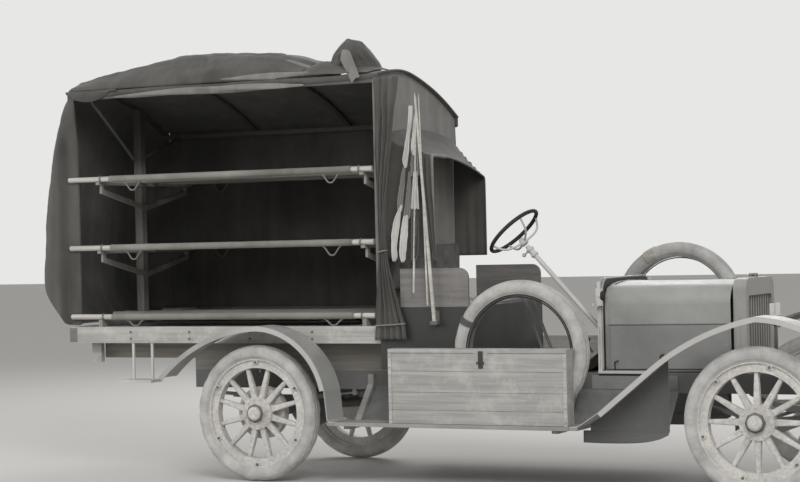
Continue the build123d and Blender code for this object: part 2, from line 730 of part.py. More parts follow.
# Bonnet halves: top and side in one bent shell, tapering to the radiator, hinged on the centre line
with BuildPart() as bonnet:
    for wall in (0.0, bonnet_wall):
        for station_x, half in ((bonnet_back_x, bonnet_back_half), (bonnet_front_x, bonnet_front_half)):
            with BuildSketch(Plane.YZ.offset(station_x)):
                with BuildLine():
                    base = Line((-half + wall, bonnet_bottom_z - wall), (half - wall, bonnet_bottom_z - wall))
                    left = Line(base @ 1, (half - wall, bonnet_top_z - 150))
                    right = Line(base @ 0, (-half + wall, bonnet_top_z - 150))
                    high_left = ThreePointArc(left @ 1, (half - 38, bonnet_top_z - 52 - wall * 0.7),
                                              (half - 130, bonnet_top_z - 18 - wall))
                    high_right = ThreePointArc(right @ 1, (-half + 38, bonnet_top_z - 52 - wall * 0.7),
                                               (-half + 130, bonnet_top_z - 18 - wall))
                    ThreePointArc(high_left @ 1, (0, bonnet_top_z - wall), high_right @ 1)
                make_face()
        loft(ruled=True, mode=Mode.SUBTRACT if wall else Mode.ADD)
for name, side in (("left", 1), ("right", -1)):
    with BuildPart() as bonnet_side:
        add(bonnet.part)
        slab((bonnet_back_x - 10, bonnet_front_x + 10), (side * bonnet_gap / 2,
                                                         side * (bonnet_back_half + 10)),
             (bonnet_bottom_z - 10, bonnet_top_z + 10), mode=Mode.INTERSECT)
    finish(bonnet_side.part, f"bonnet_{name}")

# Hinge rod along the bonnet's centre line, from the dash board to the radiator
bonnet_hinge_z = bonnet_top_z - bonnet_hinge_drop
with BuildPart() as bonnet_hinge:
    rod((dash_x[1], 0, bonnet_hinge_z), (radiator_x[0], 0, bonnet_hinge_z),
        bonnet_gap / 2 - running_clearance)
finish(bonnet_hinge.part, "bonnet_hinge")

# Dash board with a rounded top, holed for the steering column
column_at_dash = column_top + column_line * ((dash_x[0] - column_top.X) / column_line.X)
with BuildPart() as dash_board:
    with BuildSketch(Plane.YZ.offset(dash_x[0])) as board:
        with Locations((0, rail_top_z + dash_rise / 2)):
            Rectangle(2 * dash_half, dash_rise)
        fillet(board.vertices().group_by(Axis.Y)[-1], dash_corner)
    extrude(amount=dash_thickness)
    with BuildSketch(Plane(origin=column_at_dash - column_line * 60, z_dir=column_line)) as hole:
        Circle(column_radius + column_hole_gap)
    extrude(hole.sketch, amount=160, mode=Mode.SUBTRACT)
finish(dash_board.part, "dash_board")

# Cab floor: flat boards on the rails and a sloping toe board up to the dash
toe_x = dash_x[0] - toe_board_run
toe_top_z = rail_top_z + toe_board_rise
with BuildPart() as cab_floor:
    with BuildSketch(Plane.XZ):
        with BuildLine():
            Polyline((body_front_x + 1, rail_top_z), (toe_x, rail_top_z), (dash_x[0] - 1, toe_top_z),
                     (dash_x[0] - 1, toe_top_z + cab_floor_thickness * 1.3), (toe_x - 8, cab_floor_top_z),
                     (body_front_x + 1, cab_floor_top_z), close=True)
        make_face()
    extrude(amount=dash_half, both=True)
    with BuildSketch(Plane(origin=column_at_dash - column_line * 320, z_dir=column_line)) as hole:
        Circle(column_radius + column_hole_gap)
    extrude(hole.sketch, amount=600, mode=Mode.SUBTRACT)
finish(cab_floor.part, "cab_floor")

# Pedals: round pads on bent arms that rise from the toe board
toe_slope = (toe_top_z + cab_floor_thickness * 1.3 - cab_floor_top_z) / (toe_board_run + 7)
pedal_foot_x = dash_x[0] - pedal_setback + pedal_lean
pedal_foot_z = cab_floor_top_z + toe_slope * (pedal_foot_x - toe_x + 8) + pedal_foot_gap
pedal_top_z = cab_floor_top_z + pedal_height
with BuildPart() as pedals:
    for pedal_y in pedal_ys:
        rod((pedal_foot_x, pedal_y, pedal_foot_z), (pedal_foot_x - pedal_lean, pedal_y, pedal_top_z),
            pedal_radius)
        with BuildSketch(Plane(origin=(pedal_foot_x - pedal_lean, pedal_y, pedal_top_z),
                               z_dir=(-0.8, 0, 0.6))):
            Circle(pedal_pad_radius)
        extrude(amount=pedal_radius)
finish(pedals.part, "pedals")

# Seat: open-topped box on the cab floor with a board inside, side panels, two cushions
seat_hollow_x = (seat_x[0] + seat_wall, seat_x[1] - seat_wall)
seat_hollow_half = seat_half - seat_wall
with BuildPart() as seat_box:
    slab(seat_x, (-seat_half, seat_half), (cab_floor_top_z, seat_wall_top_z))
    slab(seat_hollow_x, (-seat_hollow_half, seat_hollow_half), (seat_board_z, seat_wall_top_z + 1),
         mode=Mode.SUBTRACT)
    slab(seat_hollow_x, (-seat_hollow_half, seat_hollow_half),
         (cab_floor_top_z - 1, seat_board_z - seat_wall),
         mode=Mode.SUBTRACT)
finish(seat_box.part, "seat_box")

seat_panel_x = (body_front_x + seat_panel_setback, seat_x[1] - 4)
with BuildPart() as seat_panels:
    for side in (-1, 1):
        with BuildSketch(Plane.XZ.offset(-side * seat_half)) as panel:
            with Locations(((seat_panel_x[0] + seat_panel_x[1]) / 2,
                            seat_wall_top_z + seat_panel_height / 2)):
                Rectangle(seat_panel_x[1] - seat_panel_x[0], seat_panel_height)
            fillet(panel.vertices().group_by(Axis.Y)[-1].sort_by(Axis.X)[-1], seat_panel_corner)
        extrude(amount=side * seat_panel_thickness)
finish(seat_panels.part, "seat_panels")

cushion_x = (seat_hollow_x[0] + cushion_clearance, seat_hollow_x[1] - cushion_clearance)
cushion_half = seat_hollow_half - cushion_clearance
back_cushion_half = seat_half - back_cushion_inset
back_cushion_z = seat_wall_top_z + back_cushion_gap
with BuildPart() as seat_cushions:
    slab(cushion_x, (-cushion_half, cushion_half), (seat_board_z + cushion_clearance,
                                                    seat_wall_top_z + cushion_rise))
    fillet(seat_cushions.edges().group_by(Axis.Z)[-1], cushion_rise - 5)
    slab((body_front_x + cushion_clearance, body_front_x + back_cushion_depth),
         (-back_cushion_half, back_cushion_half),
         (back_cushion_z, back_cushion_z + back_cushion_height))
finish(seat_cushions.part, "seat_cushions")

# Hand levers by the right side of the driver, pivoted on a plate outside the rail
with BuildPart() as hand_levers:
    for setback, lean, rise, outset in lever_table:
        lever_x = dash_x[0] - setback
        lever_y = -rail_outer_y - outset
        rod((lever_x, lever_y, rail_top_z - 20), (lever_x - lean, lever_y, rail_top_z + rise), lever_radius)
    slab((dash_x[0] - lever_table[0][0] - 30, dash_x[0] - lever_table[1][0] + 30),
         (-rail_outer_y - lever_table[1][3] - 15, -rail_outer_y),
         (rail_top_z - 10 - lever_plate_depth, rail_top_z - 10))
finish(hand_levers.part, "hand_levers")


def fender_pair(label, path, lip_rows, apron=()):
    """Curved sheet through the path's arcs on both sides, with an outer lip and an inner apron."""

    def path_lines(rows):
        for row in rows:
            if len(row) == 3:
                ThreePointArc(*row)
            else:
                Line(*row)

    with BuildPart() as fender:
        for side in (-1, 1):
            with BuildSketch(Plane.XZ.offset(-side * side_inner_y)):
                with BuildLine():
                    path_lines(path)
                    offset(amount=fender_thickness, side=Side.LEFT)
                make_face()
            extrude(amount=-side * fender_width)
            with BuildSketch(Plane.XZ.offset(-side * side_outer_y)):
                with BuildLine():
                    path_lines(lip_rows)
                    offset(amount=fender_lip, side=Side.RIGHT)
                make_face()
            extrude(amount=side * fender_thickness)
            if apron:
                with BuildSketch(Plane.XZ.offset(-side * side_inner_y)):
                    with BuildLine():
                        Polyline(*apron, close=True)
                    make_face()
                extrude(amount=-side * fender_thickness)
    finish(fender.part, label)


# Fenders beside the body, over the wheels and down to the running boards; a path row is start, middle, end
rear_points = [(rear_axle_x + ahead, tyre_radius + rise) for ahead, rise in rear_fender_points]
front_points = [(front_axle_x + ahead, tyre_radius + rise) for ahead, rise in front_fender_points]
rear_curve = (rear_points[0:3], rear_points[2:5])
rear_foot = (
    (rear_points[4], (board_x[0], board_top_z + fender_foot_rise)),
    ((board_x[0], board_top_z + fender_foot_rise), (board_x[0] + fender_foot_rise, board_top_z)),
    ((board_x[0] + fender_foot_rise, board_top_z), (board_x[0] + fender_foot, board_top_z)),
)
slope_low = (board_x[1] + front_fender_foot[0], board_top_z + front_fender_foot[1])
slope_high = front_points[0]
fender_crown = front_points[2]
front_foot = (
    ((board_x[1] - fender_foot, board_top_z), (board_x[1], board_top_z)),
    ((board_x[1], board_top_z), slope_low),
)
front_curve = ((slope_low, slope_high), front_points[0:3], front_points[2:5])
fender_pair("rear_fenders", rear_curve + rear_foot, rear_curve)
half_sheet = fender_thickness / 2
apron_end = ThreePointArc(*front_points[0:3]) @ apron_share
front_apron = (
    (board_x[1] + half_sheet, board_top_z - apron_drop),
    (board_x[1] + half_sheet, board_top_z + half_sheet),
    (slope_low[0], slope_low[1] + half_sheet),
    (slope_high[0], slope_high[1] + half_sheet),
    (apron_end.X, apron_end.Y + half_sheet),
    (apron_end.X, board_top_z - apron_drop),
)
fender_pair("front_fenders", front_foot + front_curve, front_curve, front_apron)

# Fender stays: a flat bar bent from each rail up and out below the front fender
stay_z = fender_crown[1] - stay_gap
knee_z = stay_z - stay_bend
stay_foot_z = rail_top_z - stay_foot_drop
with BuildPart() as fender_stays:
    for side in (-1, 1):
        inner_y = side * rail_outer_y
        outer_y = side * (rail_outer_y + stay_thickness)
        seat_y = side * side_inner_y
        tip_y = side * (side_inner_y + stay_reach)
        with BuildSketch(Plane.YZ.offset(fender_crown[0])):
            with BuildLine():
                Polyline((inner_y, stay_foot_z), (inner_y, knee_z), (seat_y, stay_z), (tip_y, stay_z),
                         (tip_y, stay_z - stay_thickness), (seat_y, stay_z - stay_thickness),
                         (outer_y, knee_z - stay_thickness), (outer_y, stay_foot_z), close=True)
            make_face()
        extrude(amount=stay_width)
finish(fender_stays.part, "fender_stays")

# Running boards on brackets from the rails
bracket_z = board_top_z - board_thickness
with BuildPart() as running_boards:
    for side in (-1, 1):
        slab(board_x, (side * side_inner_y, side * side_outer_y), (bracket_z, board_top_z))
        for bracket_x in (board_x[0] + 120, board_x[1] - 160):
            with BuildSketch(Plane.YZ.offset(bracket_x - bracket_width / 2)):
                with BuildLine():
                    Polyline((side * rail_outer_y, rail_top_z - 20),
                             (side * rail_outer_y, rail_bottom_z + 20),
                             (side * (side_inner_y + 30), bracket_z - bracket_depth),
                             (side * (side_outer_y - 40), bracket_z - bracket_depth),
                             (side * (side_outer_y - 40), bracket_z), (side * (side_inner_y + 44), bracket_z),
                             (side * (rail_outer_y + bracket_depth), rail_bottom_z + 36),
                             (side * (rail_outer_y + bracket_depth), rail_top_z - 20), close=True)
                make_face()
            extrude(amount=bracket_width)
finish(running_boards.part, "running_boards")

# Valances: plates that close the gap from rail to running board, between the brackets and on to the fender
bracket_reach = bracket_width / 2 + valance_gap
valance_starts = (board_x[0] + 120 + bracket_reach, board_x[1] - 160 + bracket_reach)
valance_ends = (board_x[1] - 160 - bracket_reach, apron_end.X)
valance_top = (rail_outer_y + rail_gap, rail_bottom_z + valance_lap)
valance_low = (side_inner_y - rail_gap, board_top_z)
with BuildPart() as side_valances:
    for side in (-1, 1):
        for start_x, end_x in zip(valance_starts, valance_ends):
            with BuildSketch(Plane.YZ.offset(start_x)):
                with BuildLine():
                    Polyline((side * valance_top[0], valance_top[1]), (side * valance_low[0], valance_low[1]),
                             (side * valance_low[0], valance_low[1] - valance_thickness),
                             (side * valance_top[0], valance_top[1] - valance_thickness), close=True)
                make_face()
            extrude(amount=end_x - start_x)
finish(side_valances.part, "side_valances")

# Stowage boxes: open plank boxes on the outer edge of the boards, with a rim strip and a latch board
box_outer_y = side_outer_y - box_edge_gap
box_inner_edge_y = side_inner_y - spare_inset + tyre_width + spare_clearance
box_length = board_x[1] - board_x[0] - box_back_gap - box_front_gap
box_top_z = board_top_z + box_height
left_spare_x = dash_x[0] + left_spare_lead
spare_reach = tyre_radius + canvas_clearance
slope_angle = math.atan2(slope_high[1] - slope_low[1], slope_high[0] - slope_low[0])
slope_z = slope_low[1] + (left_spare_x - slope_low[0]) * math.tan(slope_angle)
left_spare_z = slope_z + (spare_reach + fender_thickness) / math.cos(slope_angle)
left_box_front_x = left_spare_x - math.sqrt(spare_reach**2 - (left_spare_z - box_top_z) ** 2)
with BuildPart() as side_boxes:
    for side, back_x in ((-1, board_x[0] + box_back_gap), (1, left_box_front_x - box_length)):
        outer = side * box_outer_y
        slab((back_x, back_x + box_length), (outer, side * box_inner_edge_y), (board_top_z, box_top_z))
        slab((back_x + box_wall, back_x + box_length - box_wall),
             (outer - side * box_wall, side * (box_inner_edge_y + box_wall)),
             (board_top_z + box_wall, box_top_z + 1),
             mode=Mode.SUBTRACT)
        slab((back_x, back_x + box_length), (outer, outer + side * box_latch[1]), (box_top_z - 24, box_top_z))
        latch_x = back_x + box_length * 0.53
        slab((latch_x - box_latch[0] / 2, latch_x + box_latch[0] / 2), (outer, outer + side * box_latch[1]),
             (box_top_z - box_latch[2], box_top_z - 20))
finish(side_boxes.part, "side_boxes")

# Spare wheels' tyres on their detachable rims
# columns: x, y, z
spare_table = (
    (board_x[1] - right_spare_setback, -(side_inner_y - spare_inset + tyre_width / 2),
     board_top_z + tyre_radius),
    (left_spare_x, side_outer_y - left_spare_edge, left_spare_z),
)
spares = [Plane(origin=row, x_dir=(1, 0, 0), z_dir=(0, -1, 0)) for row in spare_table]
with BuildPart() as spare_tyres:
    with Locations(*[plane.location for plane in spares]):
        add(tyre_core.part)
finish(spare_tyres.part, "spare_tyres")
with BuildPart() as spare_rims:
    for plane in spares:
        with BuildSketch(plane.offset(-rim_width / 2)):
            Circle(tyre_inner_radius)
            Circle(tyre_inner_radius - rim_wall, mode=Mode.SUBTRACT)
        extrude(amount=rim_width)
finish(spare_rims.part, "spare_rims")

# Body floor: boards between two side sills, cross bearers underneath
bearer_pitch = (body_front_x - body_back_x - bearer_width) / (bearer_count - 1)
with BuildPart() as body_floor:
    slab((body_back_x, body_front_x), (-body_half, body_half), (floor_top_z - floor_thickness, floor_top_z))
    for side in (-1, 1):
        slab((body_back_x, body_front_x), (side * body_half, side * (body_half - sill_thickness)),
             (sill_bottom_z, floor_top_z))
    for i in range(bearer_count):
        bearer_x = body_back_x + i * bearer_pitch
        slab((bearer_x, bearer_x + bearer_width), (-body_half, body_half),
             (sill_bottom_z, floor_top_z - floor_thickness))
finish(body_floor.part, "body_floor")

with BuildPart() as floor_runners:
    for side in (-1, 1):
        slab((rail_back_x, body_front_x), (side * rail_inner_y, side * rail_outer_y),
             (rail_top_z, sill_bottom_z))
finish(floor_runners.part, "floor_runners")

# Rear step hung from the right sill on two rods
step_x = [body_back_x + setback for setback in step_setbacks]
step_z = sill_bottom_z - step_drop
with BuildPart() as rear_step:
    for hang_x in step_x:
        slab((hang_x - step_hanger / 2, hang_x + step_hanger / 2), (-body_half + 4, -body_half + 16),
             (step_z, sill_bottom_z))
    slab((step_x[0] - 60, step_x[1] + 30), (-body_half - 60, -body_half + 80),
         (step_z - step_thickness, step_z))
finish(rear_step.part, "rear_step")

# Front bulkhead: boarded wall under the roof line, which is propped up on the open right side
wall_drop = canvas_thickness + canvas_clearance
hoop_drop = wall_drop + hoop_depth
wall_back_x = body_front_x - bulkhead_thickness


def roof_line(half, drop):
    """Two arcs over the roof from the left eave to the right one, drop below the outer surface."""
    far_end = (half, far_eave_z - drop)
    near_end = (-half, near_eave_z - drop)
    top = (crown[0], crown_z - drop)
    ThreePointArc(far_end, (far_shoulder[0], floor_top_z + far_shoulder[1] - drop), top)
    ThreePointArc(top, (near_shoulder[0], floor_top_z + near_shoulder[1] - drop), near_end)
    return far_end, near_end


def arch_face(x, half, low_z, drop):
    """Wall face at x, from low_z up to the roof line."""
    with BuildSketch(Plane.YZ.offset(x)) as face:
        with BuildLine():
            far_end, near_end = roof_line(half, drop)
            Polyline(far_end, (half, low_z), (-half, low_z), near_end)
        make_face()
    return face.sketch


with BuildPart() as front_bulkhead:
    extrude(arch_face(wall_back_x, body_half, floor_top_z, wall_drop), amount=bulkhead_thickness)
finish(front_bulkhead.part, "front_bulkhead")

# Roof frame: bent hoops, side rails, a purlin, and braces up from the rear post
hoop_first_x = body_back_x + 22
hoop_pitch = (wall_back_x - 42 - hoop_first_x) / (hoop_count - 1)
eaves = ((1, far_eave_z), (-1, near_eave_z))
brace_x = post_xs[0] - brace_setback
with BuildPart() as roof_frame:
    for i in range(hoop_count):
        with BuildSketch(Plane.YZ.offset(hoop_first_x + i * hoop_pitch)):
            with BuildLine():
                outer_ends = roof_line(body_half, wall_drop)
                inner_ends = roof_line(body_half, hoop_drop)
                Line(outer_ends[0], inner_ends[0])
                Line(outer_ends[1], inner_ends[1])
            make_face()
        extrude(amount=hoop_width)
    for side, eave_z in eaves:
        rail_z = eave_z - hoop_drop + 8
        slab((hoop_first_x, wall_back_x), (side * body_half, side * (body_half - hoop_width)),
             (rail_z - roof_rail_height, rail_z))
        rod((brace_x, side * (post_size / 2 + brace_radius + 3), crown_z - brace_drop - 140),
            (brace_x, side * (body_half - 2 * brace_radius), eave_z - hoop_drop - brace_radius),
            brace_radius)
    slab((hoop_first_x, wall_back_x), (crown[0] - purlin_width / 2, crown[0] + purlin_width / 2),
         (crown_z - wall_drop - 4 - purlin_depth, crown_z - wall_drop - 4))
finish(roof_frame.part, "roof_frame")

# Centre posts; bracket arms and bent struts on the face towards the middle carry the outer stretcher poles
post_top_z = floor_top_z + far_shoulder[1] - hoop_drop
strut_head_y = near_pole_y - strut_head_inset
strut_slope = (strut_foot_drop - strut_head_drop) / strut_head_y
strut_knee_drop = strut_head_drop - strut_depth + strut_slope * strut_head_depth
with BuildPart() as stretcher_posts:
    for post_x, face in zip(post_xs, (1, -1)):
        face_x = post_x + face * post_size / 2
        arm_x = (face_x, face_x + face * arm_width)
        slab((post_x - post_size / 2, post_x + post_size / 2), (-post_size / 2, post_size / 2),
             (floor_top_z, post_top_z))
        slab(arm_x, (-near_pole_y, near_pole_y), (floor_top_z, tier_zs[0] - pole_radius))
        for tier_z in tier_zs[1:]:
            arm_z = tier_z - pole_radius
            slab(arm_x, (-near_pole_y, near_pole_y), (arm_z - arm_depth, arm_z))
            for side in (-1, 1):
                with BuildSketch(Plane.YZ.offset(face_x)):
                    with BuildLine():
                        Polyline((0, tier_z - strut_foot_drop),
                                 (side * strut_head_y, tier_z - strut_head_drop),
                                 (side * strut_head_y, arm_z - arm_depth / 2),
                                 (side * (strut_head_y - strut_head_depth), arm_z - arm_depth / 2),
                                 (side * (strut_head_y - strut_head_depth), tier_z - strut_knee_drop),
                                 (0, tier_z - strut_foot_drop + strut_depth), close=True)
                    make_face()
                extrude(amount=face * strut_width)
finish(stretcher_posts.part, "stretcher_posts")

# Stretchers, two beside each other on each tier: poles and canvas beds
bed_x = (stretcher_back_x + pole_back_handle, stretcher_back_x + stretcher_length - pole_front_handle)
with BuildPart() as stretcher_poles:
    for tier_z in tier_zs:
        for side in (-1, 1):
            for pole_y in (near_pole_y - pole_radius, far_pole_y + pole_radius):
                rod((stretcher_back_x, side * pole_y, tier_z),
                    (stretcher_back_x + stretcher_length, side * pole_y, tier_z), pole_radius)
finish(stretcher_poles.part, "stretcher_poles")
with BuildPart() as stretcher_beds:
    for tier_z in tier_zs:
        bed_z = tier_z + pole_radius + canvas_clearance
        for side in (-1, 1):
            slab(bed_x, (side * (near_pole_y - bed_inset), side * (far_pole_y + bed_inset)),
                 (bed_z, bed_z + bed_thickness))
finish(stretcher_beds.part, "stretcher_beds")

# Canopy roof: canvas over the hoops with a short flap at each side
canvas_half = body_half + canvas_clearance
canvas_outer = canvas_half + canvas_thickness
canopy_x = (body_back_x + rear_cap_length, body_front_x + roof_overhang)
with BuildPart() as canopy_roof:
    with BuildSketch(Plane.YZ.offset(canopy_x[0])):
        with BuildLine():
            outer_ends = roof_line(canvas_outer, 0)
            inner_ends = roof_line(canvas_half, canvas_thickness)
            for outer_end, inner_end, flap in ((outer_ends[0], inner_ends[0], far_flap),
                                               (outer_ends[1], inner_ends[1], near_flap)):
                Polyline(outer_end, (outer_end[0], outer_end[1] - flap),
                         (inner_end[0], outer_end[1] - flap), inner_end)
        make_face()
    extrude(amount=canopy_x[1] - canopy_x[0])
finish(canopy_roof.part, "canopy_roof")

# Left side curtain hangs down from the roof flap to the sill
curtain_hem_z = floor_top_z + curtain_hem_rise
with BuildPart() as side_curtain:
    slab((canopy_x[0] + canvas_clearance, body_front_x), (canvas_half, canvas_outer),
         (curtain_hem_z, far_eave_z - far_flap - canvas_clearance))
finish(side_curtain.part, "side_curtain")

# Rear curtain: the bulging back end of the canopy, closed behind and wrapped round both corners
bulge_x = body_back_x - curtain_bulge
bulge_z = floor_top_z + bulge_rise
cap_top_x = body_back_x + 10
cap_end_x = canopy_x[0] - canvas_clearance


def cap_volume(inset, half, drop, extra):
    """Space behind the last hoop, inset from the bulging back, under the roof line."""
    with BuildPart() as cap:
        with BuildSketch(Plane.XZ):
            with BuildLine():
                back = ThreePointArc((cap_top_x + inset, crown_z + extra),
                                     (bulge_x + curtain_bulge / 4 + inset, (crown_z + bulge_z) / 2 + 15),
                                     (bulge_x + inset, bulge_z - extra))
                Polyline(back @ 1, (body_back_x - 40, curtain_hem_z - extra),
                         (cap_end_x + extra, curtain_hem_z - extra),
                         (cap_end_x + extra, crown_z + extra), back @ 0)
            make_face()
        extrude(amount=half, both=True)
        extrude(arch_face(bulge_x - 10, half, curtain_hem_z - 100, drop), amount=2 * curtain_bulge,
                mode=Mode.INTERSECT)
    return cap.part


cap_inside = cap_volume(canvas_thickness, canvas_half, canvas_thickness, 20)
with BuildPart() as rear_curtain:
    add(cap_volume(0, canvas_outer, 0, 0))
    add(cap_inside, mode=Mode.SUBTRACT)
finish(rear_curtain.part, "rear_curtain")

# Gathered curtain at the right front corner, tied in the middle and flared at the bottom
# columns: height over the floor, place of its middle ahead of the wall, length, depth
corner_sections = (
    (near_eave_rise - near_flap - canvas_clearance, 90, 170, 44),
    (905, 45, 80, 44),
    (525, 38, 52, 40),
    (25, 80, 205, 44),
    (-83, 82, 220, 44),
)
with BuildPart() as corner_curtain:
    for rise, ahead, length, depth in corner_sections:
        with BuildSketch(Plane.XY.offset(floor_top_z + rise)):
            with Locations((body_front_x + ahead, -(body_half + canvas_clearance + depth / 2))):
                RectangleRounded(length, depth, depth * 0.4)
    loft(ruled=True)
finish(corner_curtain.part, "corner_curtain")

# Side curtain of the open right side, thrown up in a heap on the roof
heap_foot_z = far_eave_z + 80
eave_cut_z = far_eave_z - 100
with BuildPart() as rolled_curtain:
    for ahead, height in heap_sections:
        with BuildSketch(Plane.YZ.offset(body_back_x + ahead)):
            with BuildLine():
                foot = Line((heap_y[0], heap_foot_z), (heap_y[1], heap_foot_z))
                low = Line(foot @ 0, (heap_y[0], near_eave_z + 18))
                high = Line(foot @ 1, (heap_y[1], floor_top_z + far_shoulder[1] + 40))
                ThreePointArc(low @ 1, (crown[0], crown_z + height), high @ 1)
            make_face()
    loft(ruled=True)
    extrude(arch_face(body_back_x, canvas_outer + 1, eave_cut_z, -canvas_clearance),
            amount=2 * heap_sections[-1][0], mode=Mode.SUBTRACT)
finish(rolled_curtain.part, "rolled_curtain")
with BuildPart() as roof_bundle:
    bundle_middle = (body_front_x - bundle_setback, bundle_y, crown_z + bundle_rise)
    with Locations(Plane(origin=bundle_middle, z_dir=(1, -0.5, 0.25))):
        Cylinder(bundle_radius, bundle_length)
    fillet(roof_bundle.edges(), bundle_radius * 0.6)
    extrude(arch_face(body_front_x - 2 * bundle_length, canvas_outer + 1, eave_cut_z, -canvas_clearance),
            amount=1200, mode=Mode.SUBTRACT)
finish(roof_bundle.part, "roof_bundle")

# Cab hood: canvas from the bulkhead forward to a bow over the seat, which stands further ahead on the right
# columns: x at the right, x at the left, height of the crown, right shoulder and left shoulder over the floor
hood_sections = (
    (body_front_x + canvas_clearance, body_front_x + canvas_clearance, hood_back_rise,
     hood_back_rise - hood_back_drop, hood_back_rise - hood_back_drop),
    (body_front_x + hood_length + hood_strip_width, body_front_x + hood_length - 70, hood_front_rise,
     hood_right_rise, hood_left_rise),
)
hood_foot_z = floor_top_z + hood_strip_rise
with BuildPart() as cab_hood:
    for inset in (0.0, canvas_thickness):
        for right_x, left_x, crown_rise, right_rise, left_rise in hood_sections:
            lift = floor_top_z - inset
            ahead = inset if right_x > body_front_x + 1 else -inset
            section = Plane(origin=((right_x + left_x) / 2 + ahead, 0, 0),
                            x_dir=(left_x - right_x, 2 * hood_half, 0),
                            z_dir=(2 * hood_half, right_x - left_x, 0))
            with BuildSketch(section):
                with BuildLine():
                    far = Line((hood_half - inset, hood_foot_z - inset),
                               (hood_half - inset, left_rise + lift))
                    near = Line((inset - hood_half, hood_foot_z - inset),
                                (inset - hood_half, right_rise + lift))
                    ThreePointArc(far @ 1, (0, crown_rise + lift), near @ 1)
                    Line(far @ 0, near @ 0)
                make_face()
        loft(ruled=True, mode=Mode.SUBTRACT if inset else Mode.ADD)
finish(cab_hood.part, "cab_hood")

# Furled flags on three poles, standing in a socket at the seat's right side
flag_y = -(seat_half + flag_gap)
# columns: foot ahead of the bulkhead and over the floor, top ahead and over, radius
flag_poles = ((400, 27, 295, 1467, 13), (335, 127, 278, 1470, 8), (240, 205, 255, 1405, 8))
# columns: top ahead and over, foot ahead and over, width
furled_cloths = ((262, 1405, 122, 405, 44), (282, 1405, 202, 405, 40), (306, 1105, 280, 425, 40))
with BuildPart() as furled_flags:
    for foot_ahead, foot_rise, top_ahead, top_rise, radius in flag_poles:
        rod((body_front_x + foot_ahead, flag_y, floor_top_z + foot_rise),
            (body_front_x + top_ahead, flag_y, floor_top_z + top_rise), radius)
    for top_ahead, top_rise, foot_ahead, foot_rise, width in furled_cloths:
        fall = (foot_ahead - top_ahead, 0, foot_rise - top_rise)
        along = Plane(origin=(body_front_x + top_ahead, flag_y, floor_top_z + top_rise), x_dir=(0, 1, 0),
                      z_dir=fall)
        reach = math.hypot(fall[0], fall[2])
        for share, spread in ((0.0, 0.4), (0.72, 1.0), (1.0, 0.5)):
            with BuildSketch(along.offset(share * reach)):
                Ellipse(flag_thickness / 2, width * spread / 2)
        loft(ruled=True)
    socket_x = body_front_x + flag_poles[0][0]
    slab((socket_x - pole_shoe[0] / 2, socket_x + pole_shoe[0] / 2), (-seat_half - flag_gap - 18, -seat_half),
         (floor_top_z + 5, floor_top_z + 5 + pole_shoe[1]))
finish(furled_flags.part, "furled_flags")

# Lamp brackets: a post on each rail with an empty fork
lamp_x = front_axle_x + lamp_bracket_lead
lamp_fork_z = rail_top_z + lamp_bracket_rise
with BuildPart() as lamp_brackets:
    for side in (-1, 1):
        rod((lamp_x, side * spring_y, rail_top_z), (lamp_x, side * spring_y, lamp_fork_z), lamp_post_radius)
        slab((lamp_x - 10, lamp_x + 10), (side * spring_y - lamp_prong_half - 8,
                                          side * spring_y + lamp_prong_half + 8),
             (lamp_fork_z - 12, lamp_fork_z))
        for prong in (-1, 1):
            prong_y = side * spring_y + prong * lamp_prong_half
            rod((lamp_x, prong_y, lamp_fork_z - 4), (lamp_x, prong_y, lamp_fork_z + lamp_prong_height),
                lamp_prong_radius)
finish(lamp_brackets.part, "lamp_brackets")

# Side lamps on short arms at the dash board
lamp_base_z = rail_top_z + side_lamp_rise
with BuildPart() as side_lamps:
    for side in (-1, 1):
        lamp_y = side * (dash_half + side_lamp_gap)
        centre_x = dash_x[0] + side_lamp_lead
        lens_z = lamp_base_z + 62
        slab((dash_x[0] - 30, dash_x[0]), (side * (dash_half - 40), lamp_y), (lamp_base_z, lamp_base_z + 15))
        rod((centre_x, lamp_y, lamp_base_z), (centre_x, lamp_y, lamp_base_z + 105), side_lamp_radius)
        rod((centre_x, lamp_y, lamp_base_z + 105), (centre_x, lamp_y, lamp_base_z + 148),
            side_lamp_radius / 2)
        rod((centre_x, lamp_y, lens_z), (bonnet_back_x - side_lamp_front_gap, lamp_y, lens_z), side_lamp_lens)
finish(side_lamps.part, "side_lamps")
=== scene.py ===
import json
import math

import bmesh
import bpy
from mathutils import Matrix, Vector, noise


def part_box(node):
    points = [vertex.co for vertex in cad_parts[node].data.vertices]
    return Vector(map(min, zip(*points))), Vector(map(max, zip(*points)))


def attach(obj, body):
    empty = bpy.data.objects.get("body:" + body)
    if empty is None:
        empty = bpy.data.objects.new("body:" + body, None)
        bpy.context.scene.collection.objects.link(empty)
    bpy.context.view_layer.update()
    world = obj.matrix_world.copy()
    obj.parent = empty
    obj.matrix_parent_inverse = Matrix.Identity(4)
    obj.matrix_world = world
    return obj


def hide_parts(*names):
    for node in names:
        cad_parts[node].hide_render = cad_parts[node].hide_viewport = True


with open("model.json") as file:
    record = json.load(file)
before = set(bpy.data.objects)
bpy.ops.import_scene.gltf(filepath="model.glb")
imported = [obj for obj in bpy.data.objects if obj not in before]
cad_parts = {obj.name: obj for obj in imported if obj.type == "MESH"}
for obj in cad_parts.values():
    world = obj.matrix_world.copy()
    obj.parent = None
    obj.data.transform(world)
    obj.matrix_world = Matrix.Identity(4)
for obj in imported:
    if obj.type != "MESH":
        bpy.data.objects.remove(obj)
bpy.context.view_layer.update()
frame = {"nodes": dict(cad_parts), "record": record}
scene = bpy.context.scene

